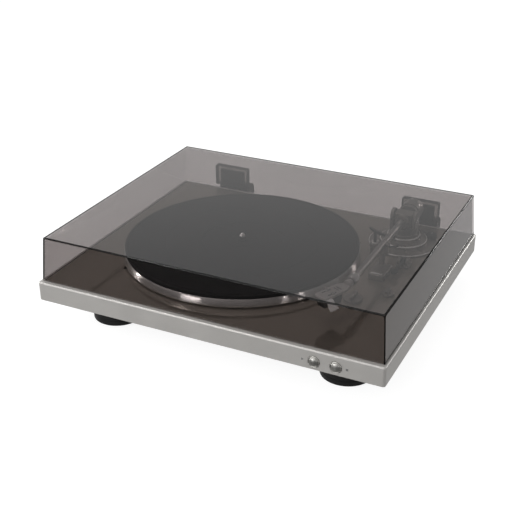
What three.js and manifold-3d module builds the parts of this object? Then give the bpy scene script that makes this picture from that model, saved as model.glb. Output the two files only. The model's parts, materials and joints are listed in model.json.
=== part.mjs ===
// A belt-driven automatic record player: plinth, deck, platter, tonearm and hinged smoked cover.
// Millimetres, +Z up, the controls face -Y. The model is drawn with z = 0 at the deck's top and the
// plinth's centre on the Z axis, and one outer group then stands it on its feet.
import * as THREE from 'three';
import { mergeVertices } from 'three/addons/utils/BufferGeometryUtils.js';
import Module from 'manifold-3d';

const wasm = await Module();
wasm.setup();

// ---------------------------------------------------------------- driving dimensions
const GAP = 0.3;

const PLINTH = { width: 434, depth: 351.4, height: 23.7, corner: 5, edge: 1.6 };
const WALL = { side: 4.6, front: 7, back: 4.6 };
const FLANGE = { inset: 30, thickness: 3 };
const DECK = { top: -0.3, thickness: 5.4, well: 2.2, wellRadius: 151.5, bossRadius: 5 };
const PAN = { inset: 24, height: 12.3, wall: 2, corner: 8 };
const FOOT = { x: 150.8, y: 109, radius: 31.2, neck: 24, height: 26.7, padRadius: 27, padProud: 1.2 };

const COVER = {
  sideInset: 3.1, frontInset: 5.6, backInset: 0.1, bottom: 0.3, top: 55.2, draft: 4, wall: 3, corner: 4,
};
const HINGE = { x: 139.5, y: 191, z: -6, ear: 11.7, knuckle: 9.5, pin: 2.5, earFrom: 11.4, earTo: 22 };
const POCKET = { width: 50, back: 182, bottom: 4.4, top: 33, slotWidth: 38, slotFront: 176.6, slotBack: 180 };
const BLADE = { halfWidth: 18.6, front: 176.9, back: 179.7, bottom: 1.2, shoulder: 6, top: 27, footTop: 3.6 };

const PLATTER = {
  x: -36, y: 4, radius: 149, bottom: 1, top: 10.5, plate: 3.3, rim: 6,
  ringRadius: 66, ringWidth: 4, bore: 3.8,
};
const MAT = { radius: 146, thickness: 3.7, labelRadius: 52, labelDrop: 0.8 };
const SPINDLE = { radius: 3.57, top: 24, bottom: -28 };
const PULLEY = { angle: 150, distance: 100, radius: 5.5, bottom: -0.4, top: 6.4 };
const BELT = { thickness: 0.8, bottom: 1.4, top: 4.8 };
const GEAR = { module: 1.25, pinionTeeth: 16, camTeeth: 40, camAngle: -20, bottom: -2, top: 4 };

const ARM = {
  x: 139.5, y: 110.6, z: 34, tube: 4, front: 180.6,
  offset: 22, shellLength: 48, shellWidth: 18, stylusReach: 36,
};
const BASE = { radius: 44, step: 30, collar: 21, top: 14 };
const YOKE = { inner: 12.4, outer: 16.6, front: -9, back: 7.6, floor: -16.6, top: 46 };
const WEIGHT = { radius: 13.4, front: 18, length: 20, bush: 6, bore: 4.3, dial: 12 };
const LIFT = { radius: 47, from: -5, to: 45, post: 31, width: 3, top: 29.5, height: 2.6 };
const REST = { y: 25, block: [20, 34, 8], blockY: 15, cradleTop: 29.7 };
const CUE = { x: 160, y: 50, z: 7, reach: 34 };
const BUTTON = { radius: 6.75, z: -13.4, proud: 2.5, start: 137.7, stop: 162.5 };
const SPEED_KNOB = { x: 135, y: -56, radius: 11, height: 8 };
const SIZE_KNOB = { x: 167, y: -28, radius: 7.5, height: 7 };
const ANTI_SKATE = { x: 169, y: 133.5, radius: 7 };

const FINE = 48;
const MEDIUM = 22;
const SMALL = 12;

// ---------------------------------------------------------------- solids
const radians = (degrees) => degrees * Math.PI / 180;

// Only positions are kept, shared corners are merged, and the faces are turned outwards.
function solid(geometry) {
  geometry.deleteAttribute('normal');
  geometry.deleteAttribute('uv');
  const merged = mergeVertices(geometry, 1e-4);
  const point = merged.getAttribute('position');
  const index = Array.from(merged.index.array);
  const corners = [new THREE.Vector3(), new THREE.Vector3(), new THREE.Vector3()];
  const kept = [];
  let volume = 0;
  for (let i = 0; i < index.length; i += 3) {
    const triangle = index.slice(i, i + 3);
    if (new Set(triangle).size < 3) continue;
    triangle.forEach((vertex, k) => corners[k].fromBufferAttribute(point, vertex));
    volume += corners[0].dot(corners[1].clone().cross(corners[2]));
    kept.push(triangle);
  }
  merged.setIndex((volume < 0 ? kept.map((t) => [t[0], t[2], t[1]]) : kept).flat());
  return merged;
}

function toManifold(geometry) {
  const vertProperties = Float32Array.from(geometry.getAttribute('position').array);
  const triVerts = Uint32Array.from(geometry.index.array);
  return new wasm.Manifold(new wasm.Mesh({ numProp: 3, vertProperties, triVerts }));
}

function fromManifold(body) {
  const mesh = body.getMesh();
  const geometry = new THREE.BufferGeometry();
  geometry.setAttribute('position', new THREE.BufferAttribute(Float32Array.from(mesh.vertProperties), 3));
  geometry.setIndex(Array.from(mesh.triVerts));
  return geometry;
}

function combine(operation, first, others) {
  let body = toManifold(first);
  for (const other of others) body = body[operation](toManifold(other));
  return fromManifold(body);
}

const join = (first, ...others) => combine('add', first, others);
const cut = (first, ...others) => combine('subtract', first, others);

// A box between two opposite corners.
function box(x0, y0, z0, x1, y1, z1) {
  const geometry = new THREE.BoxGeometry(x1 - x0, y1 - y0, z1 - z0);
  return solid(geometry.translate((x0 + x1) / 2, (y0 + y1) / 2, (z0 + z1) / 2));
}

// A body turned about the Z axis at (x, y), from [radius, height] pairs.
function turned(x, y, profile, segments = MEDIUM) {
  const points = profile.map(([radius, height]) => new THREE.Vector2(radius, height));
  return solid(new THREE.LatheGeometry(points, segments).rotateX(Math.PI / 2).translate(x, y, 0));
}

const ring = (profile) => [...profile, profile[0]];

function disc(x, y, radius, bottom, top, segments = SMALL) {
  return turned(x, y, [[0, bottom], [radius, bottom], [radius, top], [0, top]], segments);
}

// A body turned about an axis through (x, y, z), along X or along Y.
function turnedAlong(axis, x, y, z, profile, segments = SMALL) {
  const geometry = turned(0, 0, profile, segments);
  if (axis === 'x') geometry.rotateY(Math.PI / 2);
  if (axis === 'y') geometry.rotateX(-Math.PI / 2);
  return geometry.translate(x, y, z);
}

function roundedRectangle(x0, y0, x1, y1, radius) {
  const shape = new THREE.Shape();
  shape.absarc(x1 - radius, y1 - radius, radius, 0, Math.PI / 2);
  shape.absarc(x0 + radius, y1 - radius, radius, Math.PI / 2, Math.PI);
  shape.absarc(x0 + radius, y0 + radius, radius, Math.PI, Math.PI * 1.5);
  shape.absarc(x1 - radius, y0 + radius, radius, Math.PI * 1.5, Math.PI * 2);
  return shape;
}

function outline(points) {
  return new THREE.Shape(points.map(([x, y]) => new THREE.Vector2(x, y)));
}

function extruded(shape, bottom, top, curveSegments = 5) {
  const options = { depth: top - bottom, bevelEnabled: false, curveSegments };
  return solid(new THREE.ExtrudeGeometry(shape, options).translate(0, 0, bottom));
}

function slab(x0, y0, x1, y1, radius, bottom, top) {
  return extruded(roundedRectangle(x0, y0, x1, y1, radius), bottom, top);
}

// Slopes the sides of an extruded body inwards by `draft` between two heights.
function drafted(geometry, middleY, bottom, top, draft) {
  const point = geometry.getAttribute('position');
  for (let i = 0; i < point.count; i += 1) {
    const inwards = draft * (point.getZ(i) - bottom) / (top - bottom);
    point.setX(i, point.getX(i) - Math.sign(point.getX(i)) * inwards);
    point.setY(i, point.getY(i) - Math.sign(point.getY(i) - middleY) * inwards);
  }
  return geometry;
}

// ---------------------------------------------------------------- materials
function finish(color, roughness, metalness, opacity = 1) {
  return new THREE.MeshStandardMaterial({ color, roughness, metalness, opacity, transparent: opacity < 1 });
}

const silver = () => finish(0xa5a3a0, 0.42, 0.7);
const taupe = () => finish(0x645e56, 0.35, 0.6);
const aluminium = () => finish(0xd6d6d4, 0.22, 1);
const steel = () => finish(0xb4b6b8, 0.28, 1);
const brass = () => finish(0xc2a14f, 0.3, 1);
const blackPlastic = () => finish(0x1b1b1c, 0.5, 0);
const greyPlastic = () => finish(0x6e6c69, 0.45, 0);
const nylon = () => finish(0xe6e2d6, 0.55, 0);
const rubber = () => finish(0x161616, 0.85, 0);
const smoked = () => finish(0x4c4843, 0.08, 0, 0.45);
const boardGreen = () => finish(0x1f4d34, 0.6, 0);
const zinc = () => finish(0x9a9c9e, 0.4, 0.9);

const model = new THREE.Group();

function add(name, geometry, material) {
  const mesh = new THREE.Mesh(geometry, material);
  mesh.name = name;
  model.add(mesh);
}

const sides = [['left', -1], ['right', 1]];

// ---------------------------------------------------------------- plinth
const halfWidth = PLINTH.width / 2;
const halfDepth = PLINTH.depth / 2;
const plinthBottom = -PLINTH.height;
const panBottom = plinthBottom - PAN.height;
const footBottom = panBottom - FOOT.height;
const deckBottom = DECK.top - DECK.thickness;
const wellFloor = DECK.top - DECK.well;
const flangeTop = plinthBottom + FLANGE.thickness;
const pulleyX = PLATTER.x + PULLEY.distance * Math.cos(radians(PULLEY.angle));
const pulleyY = PLATTER.y + PULLEY.distance * Math.sin(radians(PULLEY.angle));
const liftX = ARM.x - LIFT.radius * Math.sin(radians(LIFT.post));
const liftY = ARM.y - LIFT.radius * Math.cos(radians(LIFT.post));

function plinthShell() {
  const options = {
    depth: PLINTH.height - 2 * PLINTH.edge, curveSegments: 5, bevelEnabled: true,
    bevelThickness: PLINTH.edge, bevelSize: PLINTH.edge, bevelOffset: -PLINTH.edge, bevelSegments: 1,
  };
  const shape = roundedRectangle(-halfWidth, -halfDepth, halfWidth, halfDepth, PLINTH.corner);
  const block = solid(new THREE.ExtrudeGeometry(shape, options).translate(0, 0, plinthBottom + PLINTH.edge));
  const inside = slab(
    -halfWidth + WALL.side, -halfDepth + WALL.front, halfWidth - WALL.side, halfDepth - WALL.back,
    3, flangeTop, 1,
  );
  const opening = slab(
    -halfWidth + FLANGE.inset, -halfDepth + FLANGE.inset, halfWidth - FLANGE.inset, halfDepth - FLANGE.inset,
    PAN.corner, plinthBottom - 1, flangeTop + 1,
  );
  const buttonHoles = [BUTTON.start, BUTTON.stop].map((x) => (
    turnedAlong('y', x, -halfDepth - 2, BUTTON.z, [
      [0, 0], [BUTTON.radius + 0.35, 0], [BUTTON.radius + 0.35, 12], [0, 12],
    ])
  ));
  const rearWindow = box(-47, halfDepth - 8, -20, 47, halfDepth + 2, -5);
  return cut(block, inside, opening, ...buttonHoles, rearWindow);
}

function deckPlate() {
  const edge = GAP + 0.1;
  const x = halfWidth - WALL.side - edge;
  const front = -halfDepth + WALL.front + edge;
  const back = halfDepth - WALL.back - edge;
  const plate = slab(-x, front, x, back, 3, deckBottom, DECK.top);
  const bosses = [-1, 0, 1].flatMap((column) => [front + 13, back - 11].map((y) => (
    disc(column * (x - 12), y, DECK.bossRadius, flangeTop + GAP, deckBottom + 1, 12)
  )));
  const holes = [
    disc(PLATTER.x, PLATTER.y, 13, deckBottom - 1, 1),
    disc(pulleyX, pulleyY, 9, deckBottom - 1, 1),
    disc(ARM.x, ARM.y, 9, deckBottom - 1, 1),
    disc(liftX, liftY, 3, deckBottom - 1, 1, 12),
    disc(SPEED_KNOB.x, SPEED_KNOB.y, 3.4, deckBottom - 1, 1, 12),
    disc(SIZE_KNOB.x, SIZE_KNOB.y, 3.4, deckBottom - 1, 1, 12),
  ];
  const well = disc(PLATTER.x, PLATTER.y, DECK.wellRadius, wellFloor, 1, FINE);
  return cut(join(plate, ...bosses), well, ...holes);
}

function basePan() {
  const x = halfWidth - PAN.inset;
  const y = halfDepth - PAN.inset;
  const top = plinthBottom - GAP;
  const tray = slab(-x, -y, x, y, PAN.corner, panBottom, top);
  const w = PAN.wall;
  const hollow = slab(-x + w, -y + w, x - w, y - w, PAN.corner - w, panBottom + w, top + 1);
  return cut(tray, hollow);
}

add('plinth_frame', plinthShell(), silver());
add('deck_plate', deckPlate(), taupe());
add('base_pan', basePan(), blackPlastic());

for (const [side, sign] of sides) {
  for (const [end, way] of [['front', -1], ['rear', 1]]) {
    const x = sign * FOOT.x;
    const y = way * FOOT.y;
    const top = panBottom - GAP;
    const bottom = footBottom + FOOT.padProud;
    const recess = bottom + 1.6;
    const shell = turned(x, y, [
      [0, recess], [FOOT.padRadius + GAP, recess], [FOOT.padRadius + GAP, bottom], [FOOT.radius - 1, bottom],
      [FOOT.radius, bottom + 1], [FOOT.radius, top - 7], [FOOT.neck, top - 5], [FOOT.neck, top], [0, top],
    ]);
    add(`foot_${end}_${side}`, shell, blackPlastic());
    add(`foot_pad_${end}_${side}`, disc(x, y, FOOT.padRadius, footBottom, recess - GAP, MEDIUM), rubber());
  }
}

// ---------------------------------------------------------------- platter and drive
function platter() {
  const { radius, bottom, top, plate, rim, ringRadius, ringWidth, bore } = PLATTER;
  const under = top - plate;
  const body = turned(PLATTER.x, PLATTER.y, ring([
    [bore, 5.2], [14, 5.2], [14, under - 1],
    [ringRadius - ringWidth, under], [ringRadius - ringWidth, bottom],
    [ringRadius, bottom], [ringRadius, under], [radius - rim, under], [radius - rim, bottom + 1],
    [radius - rim + 1, bottom], [radius - 1, bottom], [radius, bottom + 1], [radius, top - 1.2],
    [radius - 1.2, top], [bore, top],
  ]), FINE);
  const windows = [60, 240].map((angle) => disc(
    PLATTER.x + 104 * Math.cos(radians(angle)), PLATTER.y + 104 * Math.sin(radians(angle)),
    20, 0, top + 1, MEDIUM,
  ));
  return cut(body, ...windows);
}

function platterMat() {
  const bottom = PLATTER.top + GAP;
  const top = bottom + MAT.thickness;
  return turned(PLATTER.x, PLATTER.y, ring([
    [PLATTER.bore + 0.3, bottom], [MAT.radius - 0.8, bottom], [MAT.radius, bottom + 0.8],
    [MAT.radius, top - 0.6], [MAT.radius - 0.6, top], [MAT.labelRadius, top], [MAT.labelRadius - 1, top - MAT.labelDrop],
    [PLATTER.bore + 0.3, top - MAT.labelDrop],
  ]), FINE);
}

// Trapezoidal teeth round a disc; teeth whose middle lies within `missing` degrees of `facing` are left off.
function gear(x, y, teeth, bore, bottom, top, facing = 0, missing = 0, phase = 0) {
  const pitch = teeth * GEAR.module / 2;
  const root = pitch - 1.25 * GEAR.module;
  const tip = pitch + GEAR.module;
  const points = [];
  for (let tooth = 0; tooth < teeth; tooth += 1) {
    const middle = (tooth + phase) * 360 / teeth;
    const away = Math.abs(((middle - facing + 540) % 360) - 180);
    const outer = away < missing ? root : tip;
    for (const [radius, share] of [[root, -0.32], [outer, -0.12], [outer, 0.12], [root, 0.32]]) {
      const angle = radians(middle + share * 360 / teeth);
      points.push([x + radius * Math.cos(angle), y + radius * Math.sin(angle)]);
    }
  }
  const shape = outline(points);
  shape.holes.push(new THREE.Path().absarc(x, y, bore, 0, Math.PI * 2, true));
  return extruded(shape, bottom, top, 10);
}

function beltLoop(around) {
  const big = PLATTER.ringRadius + around;
  const small = PULLEY.radius + around;
  const lean = Math.acos((big - small) / PULLEY.distance);
  const loop = new THREE.Path();
  loop.absarc(0, 0, big, lean, Math.PI * 2 - lean);
  loop.absarc(PULLEY.distance, 0, small, Math.PI * 2 - lean, Math.PI * 2 + lean);
  return loop;
}

function driveBelt() {
  const shape = new THREE.Shape(beltLoop(GAP + BELT.thickness).getPoints(14));
  shape.holes.push(new THREE.Path(beltLoop(GAP).getPoints(14)));
  const loop = extruded(shape, BELT.bottom, BELT.top);
  return loop.rotateZ(radians(PULLEY.angle)).translate(PLATTER.x, PLATTER.y, 0);
}

const gearDistance = (GEAR.pinionTeeth + GEAR.camTeeth) * GEAR.module / 2;
const camX = PLATTER.x + gearDistance * Math.cos(radians(GEAR.camAngle));
const camY = PLATTER.y + gearDistance * Math.sin(radians(GEAR.camAngle));

add('platter', platter(), aluminium());
add('platter_mat', platterMat(), rubber());
add('spindle', turned(PLATTER.x, PLATTER.y, [
  [0, SPINDLE.bottom], [SPINDLE.radius - 0.6, SPINDLE.bottom], [SPINDLE.radius, SPINDLE.bottom + 0.6],
  [SPINDLE.radius, SPINDLE.top - 4], [SPINDLE.radius - 0.8, SPINDLE.top - 1.4], [1.4, SPINDLE.top - 0.2],
  [0, SPINDLE.top],
], SMALL), steel());
add('hub_pinion', gear(
  PLATTER.x, PLATTER.y, GEAR.pinionTeeth, PLATTER.bore, GEAR.bottom, GEAR.top + 0.6,
), nylon());
add('cam_gear', gear(
  camX, camY, GEAR.camTeeth, 4, GEAR.bottom, GEAR.top, GEAR.camAngle + 180, 26, 0.5,
), nylon());
add('bearing_housing', turned(PLATTER.x, PLATTER.y, [
  [0, -33], [9, -33], [9, -12], [20, -11], [20, deckBottom - GAP], [SPINDLE.radius + 0.05, deckBottom - GAP],
  [SPINDLE.radius + 0.05, SPINDLE.bottom - GAP], [0, SPINDLE.bottom - GAP],
]), zinc());
add('motor_pulley', turned(pulleyX, pulleyY, [
  [0, -9], [1, -9], [1, PULLEY.bottom], [7, PULLEY.bottom], [7, PULLEY.bottom + 0.8],
  [PULLEY.radius, PULLEY.bottom + 1.4], [PULLEY.radius, PULLEY.top - 1.2], [6.6, PULLEY.top - 0.7],
  [6.6, PULLEY.top], [0, PULLEY.top],
]), brass());
add('drive_belt', driveBelt(), rubber());
add('motor_plate', cut(
  slab(pulleyX - 34, pulleyY - 24, pulleyX + 34, pulleyY + 24, 5, deckBottom - 1.9, deckBottom - GAP),
  disc(pulleyX, pulleyY, 7, deckBottom - 3, 0),
), zinc());
add('motor', turned(pulleyX, pulleyY, [
  [0, -32], [16, -32], [18, -30], [18, -10], [16.5, deckBottom - 2.3], [1.5, deckBottom - 2.3], [1.5, -10],
  [0, -10],
]), steel());

// ---------------------------------------------------------------- electronics and rear panel
function amplifierBoard() {
  const z = -26;
  const board = box(50, -125, z, 180, -50, z + 1.6);
  const parts = [
    disc(70, -110, 5, z + 1, z + 13, 12), disc(84, -110, 5, z + 1, z + 13, 12),
    disc(98, -112, 4, z + 1, z + 10, 12),
    box(110, -80, z + 1, 132, -70, z + 5), box(66, -76, z + 1, 80, -70, z + 8),
    box(140, -118, z + 1, 170, -106, z + 9),
  ];
  return join(board, ...parts);
}

function arcLever() {
  const z = deckBottom - 4.2;
  const length = Math.hypot(ARM.x - camX, ARM.y - camY);
  const plate = join(
    disc(0, 0, 9, z, z + 1.5), disc(length, 0, 11, z, z + 1.5, MEDIUM), box(0, -5, z, length, 5, z + 1.5),
  );
  const lever = cut(plate, disc(0, 0, 3, z - 1, z + 3, 12), disc(length, 0, 6, z - 1, z + 3));
  return lever.rotateZ(Math.atan2(ARM.y - camY, ARM.x - camX)).translate(camX, camY, 0);
}

const socket = (x, flange, radius, bore, length) => turnedAlong('y', x, halfDepth - 2.6, -12.5, ring([
  [bore, GAP], [flange, GAP], [flange, 1.6], [radius, 2.2], [radius, length], [bore, length],
]));

add('amplifier_board', amplifierBoard(), boardGreen());
add('power_transformer', join(
  box(-170, 100, panBottom + 2.5, -126, 136, panBottom + 20),
  box(-162, 94, panBottom + 6, -134, 142, panBottom + 17),
), zinc());
add('arm_drive_lever', arcLever(), zinc());
add('rear_panel', cut(
  box(-46.6, halfDepth - 4.4, -19.6, 46.6, halfDepth - 2.6, -5.4),
), blackPlastic());
add('signal_jack_left', socket(-24, 5.4, 4.1, 1.6, 9.5), zinc());
add('signal_jack_right', socket(-8, 5.4, 4.1, 1.6, 9.5), zinc());
add('ground_terminal', turnedAlong('y', 10, halfDepth - 2.3, -12.5, [
  [0, 0], [4.4, 0], [4.4, 1.2], [2, 1.6], [2, 3], [4, 3.4], [4, 7.5], [0, 8],
]), zinc());
add('mains_gland', socket(33, 6, 5, 2.6, 5), rubber());

// ---------------------------------------------------------------- front buttons
for (const [name, x] of [['start', BUTTON.start], ['stop', BUTTON.stop]]) {
  const r = BUTTON.radius;
  add(`${name}_button`, turnedAlong('y', x, -halfDepth - BUTTON.proud, BUTTON.z, [
    [0, 0], [r * 0.55, 0.35], [r * 0.85, 1.05], [r, 2.1], [r, 6], [3, 6.2], [3, 9.4], [0, 9.4],
  ], 20), aluminium());
  add(`${name}_switch`, box(
    x - 5, -halfDepth + WALL.front + 2.4, BUTTON.z - 4, x + 5, -halfDepth + WALL.front + 12, BUTTON.z + 4,
  ), blackPlastic());
}

// ---------------------------------------------------------------- deck knobs
function pointerKnob({ x, y, radius, height }) {
  const body = turned(x, y, [
    [0, -9], [2.8, -9], [2.8, DECK.top + GAP], [radius, DECK.top + GAP], [radius, 2.4], [radius - 0.8, 3.2],
    [0, 3.2],
  ], 20);
  const grip = slab(x - 2.2, y - radius + 1, x + 2.2, y + radius - 1, 2, 3, height);
  return join(body, grip);
}

add('speed_knob', pointerKnob(SPEED_KNOB), greyPlastic());
add('size_knob', pointerKnob(SIZE_KNOB), greyPlastic());

// ---------------------------------------------------------------- tonearm base, rest and lift
function armBase() {
  const body = turned(ARM.x, ARM.y, ring([
    [5.1, -8], [8.6, -8], [8.6, 0], [BASE.radius - 0.6, 0], [BASE.radius, 0.6], [BASE.radius, 2],
    [BASE.radius - 0.8, 2.8], [BASE.step, 2.8], [BASE.step, 7], [BASE.step - 1, 8],
    [BASE.collar, 8], [BASE.collar, BASE.top - 1],
    [BASE.collar - 1, BASE.top], [5.1, BASE.top],
  ]), 30);
  return cut(
    body,
    disc(liftX, liftY, 6.4, -1, 4),
    disc(ANTI_SKATE.x, ANTI_SKATE.y, 3.3, -1, 9, 12),
  );
}

function armRest() {
  const [width, depth, height] = REST.block;
  const block = slab(
    ARM.x + 3 - width / 2, REST.blockY - depth / 2, ARM.x + 3 + width / 2, REST.blockY + depth / 2,
    2, 0, height,
  );
  const post = disc(ARM.x + 1, REST.y, 3.5, height - 1, 26);
  const cradle = box(ARM.x - 6, REST.y - 4, 25, ARM.x + 9, REST.y + 4, REST.cradleTop);
  const cheek = box(ARM.x + 4.6, REST.y - 4, 25, ARM.x + 9, REST.y + 4, 35);
  const eye = turnedAlong('y', ARM.x + 6.8, REST.y - 4, 36.4, [[0, 0], [2.2, 0], [2.2, 2.4], [0, 2.4]], 12);
  const farEye = eye.clone().translate(0, 5.6, 0);
  const slot = box(ARM.x + 4, REST.y - 1.6, 32, ARM.x + 10, REST.y + 1.6, 40);
  const rest = cut(join(block, post, cradle, cheek, eye, farEye), slot);
  const pinHole = turnedAlong('y', ARM.x + 6.8, REST.y - 6, 36.4, [[0, 0], [0.9, 0], [0.9, 12], [0, 12]], 12);
  return cut(rest, pinHole);
}

// The clip is drawn closed over the tube and stands open at rest.
function armClip() {
  const x = ARM.x + 6.8;
  const pivot = turnedAlong('y', 0, -5, 0, [[0, 0], [0.8, 0], [0.8, 10], [0, 10]], 12);
  const hub = turnedAlong('y', 0, -1.3, 0, [[0, 0], [2, 0], [2, 2.6], [0, 2.6]], 16);
  const arm = join(box(-13, -1.3, 2.2, 0.8, 1.3, 3.6), box(-0.8, -1.3, 0, 0.8, 1.3, 3.4));
  const hook = box(-13, -1.3, 0, -11.8, 1.3, 3.4);
  return join(pivot, hub, arm, hook).rotateY(radians(165)).translate(x, REST.y, 36.4);
}

function liftBar() {
  const shape = new THREE.Shape();
  const start = radians(270 - LIFT.to);
  const end = radians(270 - LIFT.from);
  shape.absarc(0, 0, LIFT.radius + LIFT.width / 2, start, end, false);
  shape.absarc(0, 0, LIFT.radius - LIFT.width / 2, end, start, true);
  const bar = extruded(shape, LIFT.top - LIFT.height, LIFT.top, 12).translate(ARM.x, ARM.y, 0);
  return join(bar, disc(liftX, liftY, 2, -12, LIFT.top - 1, 12));
}

add('arm_base', armBase(), taupe());
add('arm_rest', armRest(), greyPlastic());
add('arm_clip', armClip(), blackPlastic());
add('lift_sleeve', turned(liftX, liftY, ring([
  [2.3, GAP], [6, GAP], [6, 14], [5, 15], [2.3, 15],
]), SMALL), zinc());
add('lift_bar', liftBar(), blackPlastic());
add('cue_lever_base', cut(
  join(
    slab(CUE.x - 8, CUE.y - 9, CUE.x + 8, CUE.y + 9, 2, 0, 3),
    box(CUE.x - 7, CUE.y - 5, 2, CUE.x - 3.4, CUE.y + 5, CUE.z + 4),
    box(CUE.x + 3.4, CUE.y - 5, 2, CUE.x + 7, CUE.y + 5, CUE.z + 4),
  ),
  turnedAlong('x', CUE.x - 10, CUE.y, CUE.z, [[0, 0], [1.7, 0], [1.7, 20], [0, 20]], 16),
), greyPlastic());
add('cue_lever', join(
  turnedAlong('x', CUE.x - 6.6, CUE.y, CUE.z, [[0, 0], [1.5, 0], [1.5, 13.2], [0, 13.2]], 16),
  turnedAlong('x', CUE.x - 3, CUE.y, CUE.z, [[0, 0], [3.4, 0], [3.4, 6], [0, 6]], SMALL),
  box(CUE.x - 1.2, CUE.y - CUE.reach, CUE.z - 0.8, CUE.x + 1.2, CUE.y, CUE.z + 1.6),
  slab(CUE.x - 4, CUE.y - CUE.reach - 5, CUE.x + 4, CUE.y - CUE.reach + 5, 2.5, CUE.z - 0.8, CUE.z + 2.4),
), blackPlastic());
add('anti_skate_dial', turned(ANTI_SKATE.x, ANTI_SKATE.y, [
  [0, 0.6], [3, 0.6], [3, 3.1], [ANTI_SKATE.radius, 3.1], [ANTI_SKATE.radius, 8],
  [ANTI_SKATE.radius - 0.8, 8.8], [0, 8.8],
], 20), blackPlastic());

// ---------------------------------------------------------------- tonearm
// Each piece is drawn about the arm's pivot, with the tube running towards -Y.
const atPivot = (geometry) => geometry.translate(ARM.x, ARM.y, ARM.z);
const alongArm = (from, to, radius, segments = SMALL) => (
  turnedAlong('y', 0, from, 0, [[0, 0], [radius, 0], [radius, to - from], [0, to - from]], segments)
);

function armYoke() {
  const { inner, outer, front, back, floor, top } = YOKE;
  const under = BASE.top + GAP - ARM.z;
  const shaft = turned(0, 0, [
    [0, -48], [5, -48], [5, under], [17, under], [17, floor - 0.8], [16.2, floor], [0, floor],
  ]);
  const cheeks = [[-outer, -inner], [inner, outer]].map(([from, to]) => (
    box(from, front, floor - 0.6, to, back, top - ARM.z)
  ));
  const bore = turnedAlong('x', -20, 0, 0, [[0, 0], [1.8, 0], [1.8, 40], [0, 40]], 16);
  return cut(join(shaft, ...cheeks), bore);
}

function armTube() {
  const block = box(-11.6, -10, -9, 11.6, 8, 9);
  const pins = turnedAlong('x', -15.5, 0, 0, [[0, 0], [1.5, 0], [1.5, 31], [0, 31]], 16);
  return join(block, pins, alongArm(-ARM.front, -9, ARM.tube, 16), alongArm(7, 43, ARM.tube, 16));
}

// Pieces of the headshell group are drawn along -Y from the end of the plug, then turned to the offset angle.
const plugEnd = -(ARM.front + 8.3);
const atShell = (geometry) => geometry.rotateZ(radians(-ARM.offset)).translate(0, plugEnd, 0);

function headshell() {
  const w = ARM.shellWidth / 2;
  const l = ARM.shellLength;
  const plate = extruded(outline([
    [-4.6, -0.4], [4.6, -0.4], [4.6, -5], [w, -14], [w, -l + 3], [w - 3, -l], [-w + 3, -l], [-w, -l + 3],
    [-w, -14], [-4.6, -5],
  ]), -2.6, 0);
  const neck = alongArm(-6, 0.8, 4.4, 16);
  return atPivot(join(alongArm(plugEnd - 1, -ARM.front - GAP, 3.9), atShell(join(plate, neck))));
}

// A bent strip: out from the shell's side, down, and out again, growing wider towards the finger's end.
function fingerLift() {
  const w = ARM.shellWidth / 2;
  const bend = outline([
    [w + GAP, -2.2], [w + 4, -2.2], [w + 7, -5], [w + 15.5, -6.6], [w + 15.5, -5.4], [w + 7.6, -3.8],
    [w + 4.6, -1], [w + GAP, -1],
  ]);
  const inner = extruded(outline([
    [w - 1, -38], [w + 17, -38], [w + 17, -43.9], [w + GAP, -39.5], [w - 1, -39.5],
  ]), -9, 1);
  const outer = extruded(outline([
    [w - 1, -57], [w + 17, -57], [w + 17, -52], [w + 14, -55.5], [w + GAP, -48], [w - 1, -48],
  ]), -9, 1);
  const strip = extruded(bend, 39, 56).rotateX(Math.PI / 2);
  return atPivot(atShell(cut(strip, inner, outer)));
}

function cartridge() {
  const s = ARM.stylusReach;
  const body = box(-8, -s - 9, -14.6, 8, -s + 15, -2.9);
  return atPivot(atShell(cut(body, box(-4.2, -s - 10, -15, 4.2, -s + 4, -10.2))));
}

function stylus() {
  const s = ARM.stylusReach;
  const holder = box(-3.9, -s - 8, -14.4, 3.9, -s + 3.7, -10.5);
  const cantilever = box(-0.5, -s - 1, -17, 0.5, -s + 2.5, -14);
  const tip = turned(0, -s, [[0, -17.7], [0.4, -16.8], [0, -16.8]], 8);
  return atPivot(atShell(join(holder, cantilever, tip)));
}

add('arm_yoke', atPivot(armYoke()), greyPlastic());
add('arm_tube', atPivot(armTube()), aluminium());
add('arm_collar', atPivot(turnedAlong('y', 0, -ARM.front - 6, 0, ring([
  [ARM.tube + GAP, 0], [5.6, 0], [6, 0.6], [6, 11], [5.4, 12], [ARM.tube + GAP, 12],
]), 16)), aluminium());
add('headshell', headshell(), silver());
add('finger_lift', fingerLift(), steel());
add('cartridge', cartridge(), blackPlastic());
add('stylus', stylus(), blackPlastic());
add('weight_bush', atPivot(turnedAlong('y', 0, WEIGHT.front, 0, ring([
  [WEIGHT.bore, 0], [WEIGHT.bush, 0], [WEIGHT.bush, WEIGHT.length], [WEIGHT.bore, WEIGHT.length],
]))), brass());
add('counterweight', atPivot(turnedAlong('y', 0, WEIGHT.front, 0, ring([
  [WEIGHT.bush + GAP, 0], [WEIGHT.radius - 0.8, 0], [WEIGHT.radius, 0.8],
  [WEIGHT.radius, WEIGHT.length - 1.2], [WEIGHT.radius - 1.4, WEIGHT.length],
  [WEIGHT.bush + GAP, WEIGHT.length],
]), MEDIUM)), silver());
add('tracking_dial', atPivot(turnedAlong('y', 0, WEIGHT.front - 4.8, 0, ring([
  [WEIGHT.bore + GAP, 0], [WEIGHT.dial - 1, 0], [WEIGHT.dial, 1], [WEIGHT.dial, 4.5], [WEIGHT.bore + GAP, 4.5],
]), MEDIUM)), blackPlastic());

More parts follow.
